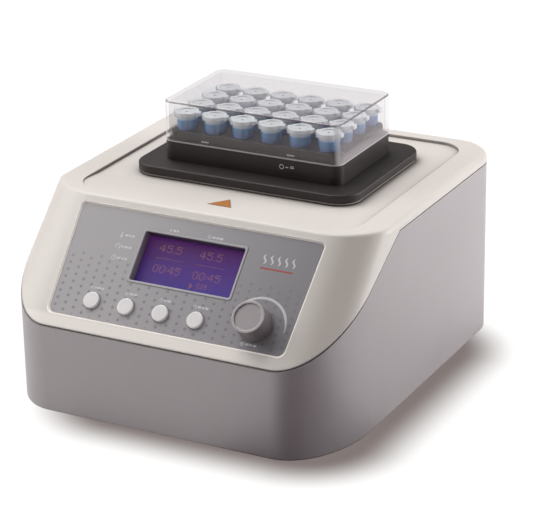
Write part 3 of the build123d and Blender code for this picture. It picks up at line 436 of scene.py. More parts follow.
def mat_lcd():
    """Glowing display, from blue at the bottom to violet at the top, with its cell grid."""
    net = Net("lcd")
    cell = 0.48  # mm
    x, y = net.slope_xy()
    top, middle, low = (0.115, 0.022, 0.172), (0.098, 0.030, 0.270), (0.080, 0.042, 0.330)
    rise = net.add(net.ramp(y, -6.0, 22.0), net.ramp(x, -30.0, 32.0, out=(0.10, -0.05)))
    col = net.mix(net.ramp(rise, 0.0, 0.5), low, middle)
    col = net.mix(net.ramp(rise, 0.5, 1.0), col, top)

    def lines(place):
        across = net.abs(net.sub(net.math("FRACT", net.div(place, cell)), 0.5))
        return net.ramp(across, 0.40, 0.48)

    grid = net.max(lines(x), lines(y))
    col = net.tint(col, grade(middle, 0.55), grid, amount=0.22)
    cloud = net.ramp(net.noise(60.0, detail=3.0), 0.35, 0.7)
    col = net.tint(col, (0.14, 0.05, 0.30), cloud, amount=0.1)
    net.done(net.bsdf(
        Base_Color=col, Roughness=0.22, Normal=net.bump(grid, depth=0.000004, strength=0.4),
        Emission_Color=col, Emission_Strength=0.50))


def mat_bezel():
    """Light grey rim; near-black walls down to the glass, with painted shade deepening towards the glass and
    painted light on faces turned right.
    """
    net = Net("bezel_grey")
    height = net.slope_height()
    rim = net.ramp(height, -0.55, -0.15)
    fine = net.noise(1500.0, rough=0.6)
    light = net.mix(net.vary(fine), (0.42, 0.405, 0.42), (0.48, 0.465, 0.48))
    # painted light on wall faces turned right, and painted shade deepening down the walls towards the glass
    side = net.ramp(net.split(net.normal())[0], 0.4, 0.9)
    wall = net.mix(net.ramp(height, -6.0, -0.5), (0.020, 0.016, 0.020), (0.075, 0.062, 0.068))
    lit_wall = net.mix(net.ramp(height, -6.0, -0.5), (0.26, 0.215, 0.235), (0.42, 0.37, 0.39))
    col = net.mix(rim, net.mix(side, wall, lit_wall), light)
    col = net.tint(col, (0.58, 0.58, 0.59), net.mul(net.edge(0.0006), rim), amount=0.35)
    net.done(net.bsdf(
        Base_Color=col, Roughness=net.vary(fine, 0.3, 0.4),
        Normal=net.bump(fine, depth=0.00001, strength=0.8, normal=net.bevel(0.0003))))


def mat_pixel():
    """The display's lit figures."""
    net = Net("lcd_pixel")
    col = net.mix(net.vary(net.noise(900.0)), (0.20, 0.075, 0.105), (0.27, 0.10, 0.10))
    net.done(net.bsdf(Base_Color=col, Roughness=0.3, Emission_Color=col, Emission_Strength=0.5))


def mat_window():
    """Clear window: lets light straight through and mirrors at grazing angles."""
    net = Net("clear_window")
    # shares of haze on upward faces, mirror seen square on, and edge darkening
    top_haze, square_gloss, edge_dark = 0.0, 0.0, 0.0
    facing = net.normal()
    streak = net.noise(1.0, detail=3.0, rough=0.6, vector=net.stretched((30.0, 30.0, 160.0)))
    fine = net.noise(700.0, rough=0.6)
    normal = net.bump(net.add(streak, net.mul(fine, 0.15)), depth=0.00003, strength=0.5,
                      normal=net.bevel(0.0005))
    gloss = net.node("BsdfGlossy", {"Color": (1, 1, 1), "Roughness": 0.03, "Normal": normal})
    haze = net.bsdf(Base_Color=net.mottle(streak, (0.86, 0.83, 0.85), 0.96, 1.04),
                    Roughness=0.4, Normal=normal)
    upward = net.ramp(net.split(facing)[2], 0.6, 0.95)
    haze_share = net.add(net.vary(streak, 0.012, 0.018), net.mul(upward, top_haze), clamp=True)
    sheet = net.blend(haze_share, net.see_through((0.98, 0.98, 1.0)), haze)
    mirror = net.add(net.mul(net.fresnel(1.5), 0.75), square_gloss, clamp=True)
    sheet = net.blend(mirror, sheet, gloss)
    edge = net.mul(net.edge(0.0016, start=0.03, end=0.22, samples=6), edge_dark)
    dark = net.bsdf(Base_Color=(0.22, 0.18, 0.19), Roughness=0.25, Normal=normal)
    net.done(net.faint_shadow(net.blend(edge, sheet, dark), (0.95, 0.95, 0.95)))


def mat_lid():
    """Clear lid: lilac veil on top, a painted dark reflection line round the top, a painted highlight line at the
    foot.
    """
    net = Net("lid_clear")
    geometry = net.node("NewGeometry")
    low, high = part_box("lid")
    centre, half = 0.5 * (low + high), 0.5 * (high - low)
    fine = net.noise(500.0, rough=0.6)
    normal = net.bump(fine, depth=0.000006, strength=0.4, normal=net.bevel(0.0005))
    level = net.abs(net.split(geometry.outputs["Normal"])[2])
    flat = net.ramp(level, 0.90, 0.98)
    place = net.split(net.obj)
    z = place[2]
    off_x = net.abs(net.sub(place[0], centre.x))
    off_y = net.abs(net.sub(place[1], centre.y))
    # veil of the walls: thin at front and rear, thicker at the ends and their foot
    thin_veil = 0.085
    end = net.ramp(net.abs(net.split(geometry.outputs["Normal"])[0]), 0.6, 0.9)
    end_veil = net.ramp(z, low.z + 0.0015, low.z + 0.0105, out=(0.50, 0.24), smooth=True)
    wall_veil = net.add(net.mul(end, net.sub(end_veil, thin_veil)), thin_veil)
    milk = net.mix(net.vary(net.noise(35.0, detail=3.0)), (0.66, 0.60, 0.65),
                   (0.72, 0.655, 0.705))
    haze = net.bsdf(Base_Color=milk, Roughness=0.4, Normal=normal)
    veil = net.add(net.mul(flat, 0.27), net.mul(net.sub(1.0, flat), wall_veil))
    sheet = net.blend(veil, net.see_through((0.985, 0.98, 0.985)), haze)
    gloss = net.node("BsdfGlossy", {"Color": (1, 1, 1), "Roughness": 0.05, "Normal": normal})
    sheet = net.blend(net.mul(net.fresnel(1.5), 0.8, clamp=True), sheet, gloss)
    # painted reflection: the rounded top edge gets a dark coat for the dark surroundings it gathers
    edge = net.mul(net.ramp(level, 0.22, 0.40), net.fall(level, 0.82, 0.93))
    edge = net.mul(edge, net.ramp(z, high.z - 0.004, high.z - 0.003))
    dark = net.bsdf(Base_Color=(0.16, 0.125, 0.14), Roughness=0.25, Normal=normal)
    sheet = net.blend(net.mul(edge, 0.72), sheet, dark)
    # painted highlight: the foot and the upright corners get a pale coat for the light they gather
    foot = net.fall(z, low.z + 0.0007, low.z + 0.0011)
    painted_highlight_coat = net.bsdf(Base_Color=(0.74, 0.71, 0.73), Roughness=0.25, Normal=normal)
    corner = net.mul(net.ramp(off_x, half.x - 0.0042, half.x - 0.0016),
                     net.ramp(off_y, half.y - 0.0042, half.y - 0.0016))
    corner = net.mul(corner, net.ramp(level, 0.10, 0.30, out=(0.66, 0.0)))
    sheet = net.blend(net.max(net.mul(foot, 0.62), corner), sheet, painted_highlight_coat)
    # light leaves each sheet on its far side without a second veil
    sheet = net.blend(geometry.outputs["Backfacing"], sheet, net.see_through((1, 1, 1)))
    net.done(net.faint_shadow(sheet, (0.95, 0.95, 0.95)))


def mat_tube():
    """Blue-filled sample tubes with a pale lip."""
    net = Net("tube_clear")
    z = net.split(net.obj)[2]
    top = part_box("sample_tubes")[1].z
    lip = net.ramp(z, top - 0.0030, top - 0.0012, smooth=True)
    fine = net.noise(600.0, rough=0.6)
    normal = net.bump(fine, depth=0.00002, strength=0.6, normal=net.bevel(0.0003))
    body = net.mix(net.ramp(z, top - 0.0095, top - 0.0035), (0.006, 0.040, 0.20),
                   (0.050, 0.24, 0.52))
    body = net.mix(net.vary(fine, 0.0, 0.35), body, (0.05, 0.20, 0.48))
    # painted glints: pale flecks on the blue body
    painted_glint = net.ramp(net.noise(900.0, rough=0.7), 0.62, 0.72, out=(0.0, 0.45))
    col = net.mix(lip, net.mix(painted_glint, body, (0.45, 0.62, 0.78)), (0.66, 0.77, 0.85))
    blue = net.bsdf(Base_Color=col, Roughness=0.22, Normal=normal, Coat_Weight=0.5,
                    Coat_Roughness=0.08)
    wall = net.blend(0.14, blue, net.see_through((0.75, 0.9, 1.0)))
    gloss = net.node("BsdfGlossy", {"Roughness": 0.1, "Normal": normal})
    net.done(net.blend(net.mul(net.fresnel(1.45), 0.7, clamp=True), wall, gloss))


def mat_cap():
    """Milky tube caps."""
    net = Net("cap_clear")
    fine = net.noise(420.0, detail=3.0, rough=0.6)
    normal = net.bump(fine, depth=0.00003, strength=0.6, normal=net.bevel(0.0004))
    col = net.mix(net.vary(fine), (0.74, 0.78, 0.80), (0.83, 0.86, 0.88))
    col = net.tint(col, (0.92, 0.94, 0.95), net.edge(0.0006), amount=0.5)
    milky = net.bsdf(Base_Color=col, Roughness=0.35, Normal=normal, Subsurface_Weight=0.2,
                     Subsurface_Radius=(0.002, 0.002, 0.002), Coat_Weight=0.3)
    wall = net.blend(0.08, milky, net.see_through((0.9, 0.95, 1.0)))
    gloss = net.node("BsdfGlossy", {"Roughness": 0.15, "Normal": normal})
    net.done(net.blend(net.mul(net.fresnel(1.45), 0.6, clamp=True), wall, gloss))


def mat_liquid():
    net = Net("blue_liquid")
    cloud = net.noise(180.0, detail=3.0, rough=0.6)
    net.done(net.bsdf(
        Base_Color=net.mix(net.vary(cloud), (0.015, 0.10, 0.36), (0.03, 0.17, 0.50)),
        Roughness=0.12, Coat_Weight=0.6, Coat_Roughness=0.05,
        Normal=net.bump(cloud, depth=0.00002, strength=0.4)))


def mat_board():
    """Circuit board: pale tracks along cell borders, and bright specks."""
    net = Net("board_green")
    cells = net.node("TexVoronoi", {"Vector": net.obj, "Scale": 260.0},
                     feature="DISTANCE_TO_EDGE").outputs[0]
    track = net.fall(cells, 0.03, 0.06)
    col = net.tint((0.012, 0.10, 0.045), (0.03, 0.22, 0.10), track, amount=0.6)
    specks = net.ramp(net.noise(500.0), 0.66, 0.72)
    col = net.tint(col, (0.55, 0.5, 0.35), specks, amount=0.8)
    net.done(net.bsdf(
        Base_Color=col, Roughness=0.35, Coat_Weight=0.3,
        Normal=net.bump(track, depth=0.00003, normal=net.bevel(0.0003))))


def mat_knob():
    """Moulded grey knob: spun face, fine ribs round the skirt, painted shade on the skirt and a painted highlight
    on its edges.
    """
    net = Net("knob_grey")
    rgb_top, rgb_shaded_side = (0.41, 0.375, 0.385), (0.20, 0.172, 0.182)
    centre = tuple(Vector(JOINTS["knob_turn"]["pos_m"]))
    arm = net.node("VectorMath", {0: net.obj, 1: centre}, operation="SUBTRACT").outputs[0]
    across = net.dot(arm, tuple(X_AXIS))
    along = net.dot(arm, tuple(SLOPE_UP))
    radius = net.hypot(across, along)
    angle = net.math("ARCTAN2", along, across)
    top = net.ramp(net.abs(net.dot(net.normal(), tuple(SLOPE_OUT))), 0.5, 0.8)
    # the absolute sine gives two ribs for each of its turns
    wave = net.abs(net.math("SINE", net.mul(angle, 36.0)))
    ribs = net.mul(wave, net.sub(1.0, top))
    polar = net.node("CombineXYZ", {0: net.mul(radius, 5200.0), 1: net.mul(angle, 0.6)})
    spun = net.noise(1.0, rough=0.6, vector=polar.outputs[0])
    fine = net.noise(1500.0, rough=0.6)
    # painted shade: the skirt takes a darker copy of the top's grey
    col = net.mix(top, rgb_shaded_side, rgb_top)
    col = net.tint(col, grade(rgb_shaded_side, 0.7), net.ramp(fine, 0.35, 0.7), amount=0.12)
    # painted highlight on the knob's edges
    edge = net.edge(0.0011, start=0.02, end=0.2)
    col = net.tint(col, (0.78, 0.74, 0.75), edge, amount=0.85)
    normal = net.bump(net.mul(spun, top), depth=0.000012, strength=0.8,
                      normal=net.bevel(0.0005))
    net.done(net.bsdf(
        Base_Color=col, Metallic=0.25,
        Roughness=net.add(net.vary(spun, 0.30, 0.42), net.mul(ribs, 0.06)),
        Normal=net.bump(ribs, depth=0.00007, strength=0.5, normal=normal)))


def mat_marker():
    """Orange marker with a dark outline on its edges."""
    net = Net("marker_orange")
    fine = net.noise(1400.0, detail=3.0, rough=0.7)
    edge = net.edge(0.0011, start=0.01, end=0.1, samples=6)
    col = net.mix(net.vary(fine), (0.44, 0.165, 0.035), (0.53, 0.215, 0.055))
    col = net.tint(col, (0.05, 0.03, 0.02), edge, amount=0.8)
    net.done(net.bsdf(
        Base_Color=col, Roughness=0.42, Coat_Weight=0.15,
        Normal=net.bump(fine, depth=0.000012, strength=0.8)))


def mat_button():
    net = Net("button_white")
    fine = net.noise(1100.0, rough=0.6)
    cloud = net.vary(net.noise(90.0, detail=3.0))
    net.done(net.bsdf(
        Base_Color=net.mix(cloud, (0.84, 0.815, 0.81), (0.91, 0.885, 0.88)), Roughness=0.30,
        Normal=net.bump(fine, depth=0.00001, strength=0.7, normal=net.bevel(0.0004)),
        Subsurface_Weight=0.15, Subsurface_Radius=(0.001, 0.001, 0.001),
        Coat_Weight=0.35, Coat_Roughness=0.15))


mat_housing()
mat_cover()
metal("sheet_steel", (0.52, 0.52, 0.53), rough=0.38)
plastic("rubber", (0.028, 0.027, 0.027), rough=0.75, grain=700.0, depth=0.00004, var=0.1,
        wear=0.15, edge_rgb=(0.09, 0.09, 0.09))
metal("screw_steel", (0.60, 0.60, 0.61), rough=0.28, stretch=(900.0, 900.0, 60.0))
mat_panel()
mat_bezel()
mat_window()
mat_lcd()
plastic("dark_metal", (0.05, 0.05, 0.055), rough=0.35, grain=800.0, depth=0.00002, var=0.1,
        wear=0.3, edge_rgb=(0.2, 0.2, 0.2), metallic=0.6)
mat_board()
mat_knob()
plastic("black_plastic", (0.022, 0.022, 0.023), rough=0.42, grain=900.0, depth=0.00002,
        var=0.12, wear=0.3, edge_rgb=(0.10, 0.10, 0.10))
metal("brass", (0.72, 0.52, 0.22), rough=0.3)
metal("port_metal", (0.62, 0.62, 0.64), rough=0.22)
metal("chrome_wire", (0.72, 0.72, 0.74), rough=0.16)
metal("aluminium", (0.68, 0.69, 0.71), rough=0.36, stretch=(1500.0, 50.0, 1500.0))
metal("bearing_steel", (0.62, 0.62, 0.63), rough=0.2, stretch=(1200.0, 1200.0, 200.0))
metal("psu_steel", (0.58, 0.59, 0.60), rough=0.32)
mat_marker()
plastic("ceramic_white", (0.78, 0.78, 0.76), rough=0.55, grain=1600.0, depth=0.00002,
        var=0.04, wear=0.2)
plastic("foam", (0.66, 0.64, 0.58), rough=0.9, grain=1100.0, depth=0.0001, var=0.1, wear=0.1)
black("plate_black", (0.020, 0.0145, 0.014), rough=0.50, edge_rgb=(0.085, 0.068, 0.066),
      wear=0.55, grain=1300.0, depth=0.00003)
black("block_black", (0.023, 0.0165, 0.017), rough=0.42, edge_rgb=(0.13, 0.105, 0.105),
      wear=0.5, grain=1700.0, depth=0.00002)
mat_tube()
mat_cap()
mat_lid()
mat_button()
mat_liquid()
mat_pixel()
ink("print_light", (0.70, 0.69, 0.70), thin=0.05)
ink("print_bright", (0.70, 0.71, 0.73))
plastic("painted_band_grey", (0.40, 0.36, 0.34), rough=0.5, grain=1100.0, depth=0.00002, var=0.05,
        wear=0.3, edge_rgb=(0.6, 0.56, 0.54))
ink("print_red", (0.42, 0.06, 0.05))

slot_of = {part["node"]: part["material_slot"] for part in frame["record"]["subparts"]}
for name, part in NODES.items():
    part.data.materials.clear()
    part.data.materials.append(MATS[slot_of[name]])


# ---------------------------------------------------------------- mesh helpers
# All marks are drawn in mm; ink stands on a hair of clearance.
INK_LIFT = 0.03
INK_CLEARANCE = 0.004
RIM_INSET = 0.04


def add_object(name, mesh, material):
    data = bpy.data.meshes.new(name)
    mesh.to_mesh(data)
    mesh.free()
    made = bpy.data.objects.new(name, data)
    bpy.context.scene.collection.objects.link(made)
    data.materials.append(MATS[material])
    return made


def add_piece(name, mesh, material, body):
    mesh.normal_update()
    made = add_object(name, mesh, material)
    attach(made, body)


class Marks:
    """Printed marks in one mesh; place(x, y, lift) gives a point on the printed face."""

    def __init__(self, place):
        self.mesh = bmesh.new()
        self.place = place

    def vert(self, x, y, lift):
        return self.mesh.verts.new(self.place(x, y, lift))

    def patch(self, points):
        """A thin patch with a chamfered rim."""
        count = len(points)
        centre_x = sum(point[0] for point in points) / count
        centre_y = sum(point[1] for point in points) / count
        low = [self.vert(x, y, 0.0) for x, y in points]
        middle = [self.vert(x, y, INK_LIFT * 0.6) for x, y in points]
        top = []
        for x, y in points:
            inset = RIM_INSET / (math.hypot(x - centre_x, y - centre_y) or 1.0)
            top.append(self.vert(x - (x - centre_x) * inset, y - (y - centre_y) * inset,
                                 INK_LIFT))
        for lower, upper in ((low, middle), (middle, top)):
            for i in range(count):
                j = (i + 1) % count
                self.mesh.faces.new((lower[i], lower[j], upper[j], upper[i]))
        self.mesh.faces.new(top)
        self.mesh.faces.new(low[::-1])

    def bar(self, x, y, width, height, radius=None):
        radius = min(width, height) / 2 if radius is None else radius
        radius = min(radius, width / 2 - 1e-4, height / 2 - 1e-4)
        points = rounded_rectangle(x, y, width / 2, height / 2, radius, segments=5)
        self.patch(points)

    def disc(self, x, y, radius, segments=20):
        angles = [2 * math.pi * i / segments for i in range(segments)]
        self.patch([(x + radius * math.cos(a), y + radius * math.sin(a)) for a in angles])

    def triangle(self, x, y, radius, turn=0.0):
        angles = [math.radians(turn + a) for a in (0, 120, 240)]
        self.patch([(x + radius * math.cos(a), y + radius * math.sin(a)) for a in angles])

    def arc(self, x, y, inner, outer, start, end, segments, taper=0.0):
        """An arc from start to end degrees; taper is the share of it that narrows at each end."""
        middle = (inner + outer) / 2
        rows = []
        for i in range(segments + 1):
            along = i / segments
            angle = math.radians(start + (end - start) * along)
            narrow = 1.0
            if taper > 0:
                narrow = min(1.0, max(0.12, min(along, 1 - along) / taper)) ** 0.7
            half = (outer - inner) / 2 * narrow
            row = []
            for share, lift in ((-1, 0), (-0.7, INK_LIFT), (0.7, INK_LIFT), (1, 0)):
                radius = middle + half * share
                row.append(self.vert(x + radius * math.cos(angle),
                                     y + radius * math.sin(angle), lift))
            rows.append(row)
        for row, following in zip(rows, rows[1:]):
            for i in range(3):
                self.mesh.faces.new((row[i], row[i + 1], following[i + 1], following[i]))
        if abs(end - start) < 359.9:
            self.mesh.faces.new(rows[0])
            self.mesh.faces.new(rows[-1][::-1])

    def dashes(self, x, y, widths, height=1.3, gap=0.55):
        """A short run of plain dashes where a word would stand."""
        for width in widths:
            self.bar(x + width / 2, y, width, height, radius=0.3)
            x += width + gap

    def thermometer(self, x, y, scale):
        self.disc(x, y - 0.9 * scale, 0.75 * scale)
        self.bar(x, y + 0.6 * scale, 0.75 * scale, 2.2 * scale)

    def turn_arrow(self, x, y, scale):
        self.arc(x, y, 1.0 * scale, 1.5 * scale, -40, 230, segments=18)
        self.triangle(x + 1.05 * scale, y - 1.0 * scale, 0.8 * scale, turn=-100)

    def clock(self, x, y, scale):
        self.arc(x, y, 1.15 * scale, 1.55 * scale, 0, 360, segments=24)
        self.bar(x, y + 0.4 * scale, 0.34 * scale, 1.1 * scale)
        self.bar(x + 0.4 * scale, y, 1.0 * scale, 0.34 * scale)

    def dotted_ring(self, x, y, inner, outer, dot):
        self.arc(x, y, inner, outer, 0, 360, segments=20)
        self.disc(x, y, dot, segments=12)


def rounded_rectangle(x, y, half_x, half_y, radius, segments):
    """Corner-rounded rectangle round x, y, anticlockwise from its right side."""
    points = []
    for side_x, side_y, start in ((1, 1, 0), (-1, 1, 90), (-1, -1, 180), (1, -1, 270)):
        for i in range(segments + 1):
            angle = math.radians(start + 90 * i / segments)
            points.append((x + side_x * (half_x - radius) + radius * math.cos(angle),
                           y + side_y * (half_y - radius) + radius * math.sin(angle)))
    return points


# ---------------------------------------------------------------- marks on the panel
def on_panel(x, y, lift):
    return slope_point(x, y, lift + INK_CLEARANCE)


display_x, display_y, display_width, display_height = slope_box("display_bezel")
knob_centre = Vector(JOINTS["knob_turn"]["pos_m"])
knob_x = (knob_centre.x - OVERLAY_X) / MM
knob_y = (knob_centre.dot(SLOPE_UP) - OVERLAY_Y) / MM
MARK_GAP = 1.75  # from a key or the display up to the middle of its mark


def above_button(number):
    x, y, _, height = slope_box("button_%d" % number)
    return x, y + height / 2 + MARK_GAP


marks = Marks(on_panel)
# rows left of the display
ROW_TOP, ROW_PITCH = 10.8, 7.3
rows_x = display_x - display_width / 2 - 15.0
ROWS = ((marks.thermometer, (2.2, 1.3, 1.9)),
        (marks.turn_arrow, (1.5, 2.4, 1.9)),
        (marks.clock, (2.2, 1.3, 1.9)))
for i, (icon, widths) in enumerate(ROWS):
    y = display_y + ROW_TOP - ROW_PITCH * i
    icon(rows_x + 1.6, y, 1.1)
    marks.dashes(rows_x + 3.9, y, widths, height=1.35)
# columns above the display
y = display_y + display_height / 2 + MARK_GAP
marks.triangle(display_x - 17.6, y, 0.95, turn=-90)
marks.dashes(display_x - 15.9, y, (1.9, 1.2))
marks.dotted_ring(display_x + 7.9, y, inner=0.75, outer=1.1, dot=0.35)
marks.dashes(display_x + 9.8, y, (2.2, 1.5, 2.4))
# the four keys
x, y = above_button(1)
marks.triangle(x - 3.2, y, 0.95)
marks.dashes(x - 1.6, y, (0.6, 0.6, 2.6, 1.6), gap=0.4)
x, y = above_button(2)
for rise in (-0.8, 0.0, 0.8):
    marks.bar(x - 2.4, y + rise, 2.2, 0.36)
marks.dashes(x - 0.6, y, (2.2, 2.2))
x, y = above_button(3)
marks.clock(x - 2.6, y, 0.68)
marks.dashes(x - 0.8, y, (1.6, 2.4))
x, y = above_button(4)
marks.turn_arrow(x - 3.4, y, 0.68)
marks.dashes(x - 1.6, y, (2.4, 1.4, 2.1))
# a press mark below the knob
y = knob_y - 11.9
marks.dotted_ring(knob_x - 4.8, y, inner=0.85, outer=1.25, dot=0.42)
marks.dashes(knob_x - 2.9, y, (2.4, 1.4, 2.2))
add_piece("panel_marks", marks.mesh, "print_light", "casing")

# the arc printed over the top of the knob
marks = Marks(on_panel)
marks.arc(knob_x + 0.5, knob_y - 0.4, 16.5, 18.0, 172, -3, segments=64, taper=0.16)
add_piece("knob_arc", marks.mesh, "print_light", "casing")

# a heat mark at the top right of the panel: five small waves over a line
heat_x, heat_y = 56.0, display_y + 11.0
WAVES, WAVE_PITCH, WAVE_HEIGHT, WAVE_STEPS = 5, 4.6, 6.0, 12
marks = Marks(on_panel)
for k in range(WAVES):
    pairs = []
    for i in range(WAVE_STEPS + 1):
        along = i / WAVE_STEPS
        y = heat_y - 2.6 + WAVE_HEIGHT * along
        x = heat_x + WAVE_PITCH * (k - (WAVES - 1) / 2) + 0.8 * math.sin(2 * math.pi * along)
        half = 0.68 * math.sin(math.pi * (0.12 + 0.76 * along))
        pairs.append(((x - half, y), (x + half, y)))
    for (left, right), (next_left, next_right) in zip(pairs, pairs[1:]):
        corners = (left, right, next_right, next_left)
        marks.mesh.faces.new([marks.vert(*corner, INK_LIFT) for corner in corners])
bmesh.ops.remove_doubles(marks.mesh, verts=marks.mesh.verts, dist=1e-6)
add_piece("heat_waves", marks.mesh, "print_light", "casing")
marks = Marks(on_panel)
marks.bar(heat_x, heat_y - 5.2, 21.0, 0.95)
add_piece("heat_line", marks.mesh, "print_red", "casing")

# ---------------------------------------------------------------- the display's figures
# each glyph's rows of cells from the top down
GLYPHS = {
    "0": "01110 10001 10001 10001 10001 10001 01110",
    "4": "00010 00110 01010 10010 11111 00010 00010",
    "5": "11111 10000 11110 00001 00001 10001 01110",
    ":": "0 0 1 0 1 0 0",
    ".": "0 0 0 0 0 0 1",
    ">": "10000 11000 11100 11110 11100 11000 10000",
    "=": "111 000 111 000 111 000 000",
}
# text, x and y from the display's centre, cell pitch, cell size, widening
FIGURES = (
    ("45.5", -24.0, 7.2, 0.70, 0.52, 1.12),
    ("45.5", 2.7, 7.2, 0.70, 0.52, 1.12),
    ("00:45", -24.0, -5.7, 0.70, 0.52, 1.03),
    ("00:45", 2.4, -5.7, 0.70, 0.52, 1.03),
)
SIGNS = (
    (">", 2.4, -12.4, 0.62, 0.46, 1.0),
    ("===", 7.0, -12.2, 0.62, 0.46, 1.0),
)
FIGURE_LIFT = 0.02


def quad(mesh, x, y, half_x, half_y, lift):
    """Four corner vertices of a rectangle on the display's glass."""
    return [mesh.verts.new(slope_point(x + i * half_x, y + j * half_y, lift, LCD_TOP))
            for i, j in ((-1, -1), (1, -1), (1, 1), (-1, 1))]


def add_figures(mesh, text, x, y, pitch, fill, wide):
    x, y = display_x + x, display_y + y
    for glyph in text:
        rows = GLYPHS[glyph].split()
        for row, bits in enumerate(rows):
            for column, bit in enumerate(bits):
                if bit == "1":
                    place = (x + column * pitch * wide, y + (6 - row) * pitch,
                             fill / 2 * wide, fill / 2)
                    top = quad(mesh, *place, FIGURE_LIFT)
                    low = quad(mesh, *place, 0.0)
                    mesh.faces.new(top)
                    for i in range(4):
                        j = (i + 1) % 4
                        mesh.faces.new((low[i], low[j], top[j], top[i]))
        x += (len(rows[0]) + 1) * pitch * wide


mesh = bmesh.new()
for figure in FIGURES:
    add_figures(mesh, *figure)
# a dashed line between the upper and lower figures of each half
for start in (-23.6, 3.0):
    for i in range(9):
        mesh.faces.new(quad(mesh, display_x + start + i * 2.0, display_y + 3.0, 0.6, 0.16,
                            FIGURE_LIFT))
for sign in SIGNS:
    add_figures(mesh, *sign)
add_piece("display_figures", mesh, "lcd_pixel", "casing")

# ---------------------------------------------------------------- block front marks
block_low, block_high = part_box("tube_block")
plate_low, plate_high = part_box("platform_plate")
UPPER_SETBACK = 3.2


def on_block(setback):
    """Places on an upright front face, setback mm behind the block's foremost one."""
    def place(x, z, lift):
        return Vector(((block_low.x + block_high.x) / 2 + x * MM,
                       block_low.y + (setback - lift - INK_CLEARANCE) * MM,
                       plate_high.z + z * MM))
    return place


# a ring and three short strokes
marks = Marks(on_block(0.0))
marks.arc(21.6, 7.0, 1.1, 1.55, 0, 360, segments=24)
marks.bar(25.1, 7.0, 2.0, 0.55)
marks.bar(28.6, 7.0, 2.6, 0.55)
marks.bar(28.6, 7.9, 2.6, 0.4)
add_piece("block_well_mark", marks.mesh, "print_bright", "block")
marks = Marks(on_block(UPPER_SETBACK))
for x in (-32.0, 26.0):
    marks.bar(x, 13.6, 5.2, 0.8)
add_piece("block_row_marks", marks.mesh, "print_bright", "block")

# ---------------------------------------------------------------- painted pale band under the platform
# a pale hollow ring under the plate, just clear of the deck; it paints the band of reflection and shade at the
# plate's foot
LIP_INSET, LIP_WIDTH, LIP_CHAMFER = 0.85 * MM, 1.9 * MM, 0.3 * MM
LIP_TOP = plate_high.z - 5.3 * MM
LIP_BOTTOM = LIP_TOP - 1.1 * MM
PLATE_CORNER, LEAST_CORNER = 14.5 * MM, 4.0 * MM
LIP_INNER = LIP_INSET + LIP_WIDTH
# inset from the plate's outline, z
LIP_PROFILE = (
    (LIP_INSET, LIP_TOP),
    (LIP_INSET, LIP_BOTTOM + LIP_CHAMFER),
    (LIP_INSET + LIP_CHAMFER, LIP_BOTTOM),
    (LIP_INNER - LIP_CHAMFER, LIP_BOTTOM),
    (LIP_INNER, LIP_BOTTOM + LIP_CHAMFER),
    (LIP_INNER, LIP_TOP),
)
plate_centre, plate_half = 0.5 * (plate_high + plate_low), 0.5 * (plate_high - plate_low)
mesh = bmesh.new()
loops = []
for inset, z in LIP_PROFILE:
    outline = rounded_rectangle(
        plate_centre.x, plate_centre.y, plate_half.x - inset, plate_half.y - inset,
        max(PLATE_CORNER - inset, LEAST_CORNER), segments=10)
    loops.append([mesh.verts.new((x, y, z)) for x, y in outline])
for loop, following in zip(loops, loops[1:] + loops[:1]):
    for i in range(len(loop)):
        j = (i + 1) % len(loop)
        mesh.faces.new((loop[i], following[i], following[j], loop[j]))
bmesh.ops.recalc_face_normals(mesh, faces=mesh.faces[:])
add_piece("plate_painted_band", mesh, "painted_band_grey", "platform")


# ---------------------------------------------------------------- floor
def mat_floor():
    """The camera sees a white table with a tight warm shadow; other rays get a plain bounce."""
    bounce, dim = 0.74, 0.12  # reflectance of the table, and of its dim side
    dim_angle = 46.5  # degrees from +x towards the front
    shadow_x, shadow_y, shadow_inset, shadow_corner = 0.020, -0.010, 0.010, 0.044
    net = Net("floor_white")
    geometry = net.node("NewGeometry")
    # the shadow leans to the front right of the case
    place = net.split(geometry.outputs["Position"])
    low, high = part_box("lower_housing")
    half_x = 0.5 * (high.x - low.x) - shadow_inset
    half_y = 0.5 * (high.y - low.y) - shadow_inset
    past_x = net.sub(net.abs(net.sub(place[0], shadow_x)), half_x - shadow_corner)
    past_y = net.sub(net.abs(net.sub(place[1], shadow_y)), half_y - shadow_corner)
    distance = net.corner_distance(past_x, past_y, shadow_corner)
    lit = net.ramp(distance, -0.010, 0.028, smooth=True)
    white = net.mix(net.noise(3.0), (1.04, 1.03, 1.02), (1.07, 1.06, 1.05))
    col = net.mix(net.math("POWER", lit, 1.0), (0.225, 0.188, 0.180), white)
    shown = net.node("Emission", {"Color": col, "Strength": 1.0})
    # dim ahead of the front right corner, like the unlit side of a studio
    place = net.split(geometry.outputs["Position"])
    angle = net.math("ARCTAN2", net.mul(place[1], -1.0), place[0])
    towards = net.math("COSINE", net.sub(angle, math.radians(dim_angle)))
    shade = net.fall(towards, 0.82, 0.985, smooth=True)
    reflected = net.mix(shade, (dim * 1.25, dim, dim * 1.12),
                        (bounce, bounce * 0.985, bounce * 0.985))
    diffuse = net.node("BsdfDiffuse", {"Color": reflected})
    # a faint glow under the case
    under = net.node("Emission", {"Color": (1.0, 0.97, 0.96), "Strength": 0.30})
    soft = net.blend(net.fall(distance, -0.036, -0.022), diffuse, under)
    top_side = net.blend(net.node("LightPath").outputs["Is Camera Ray"], soft, shown)
    below = net.node("BsdfTransparent")
    net.done(net.blend(geometry.outputs["Backfacing"], top_side, below))


mat_floor()
mesh = bmesh.new()
bmesh.ops.create_grid(mesh, x_segments=8, y_segments=8, size=6.0)
floor = add_object("floor", mesh, "floor_white")
floor.location = (0, 0, -0.0002)

# ---------------------------------------------------------------- world
world = bpy.data.worlds.new("studio")
bpy.context.scene.world = world
world.use_nodes = True
tree = world.node_tree
tree.nodes.clear()
output = tree.nodes.new("ShaderNodeOutputWorld")


def background(rgb, strength):
    made = tree.nodes.new("ShaderNodeBackground")
    made.inputs["Color"].default_value = (*rgb, 1.0)
    made.inputs["Strength"].default_value = strength
    return made.outputs[0]


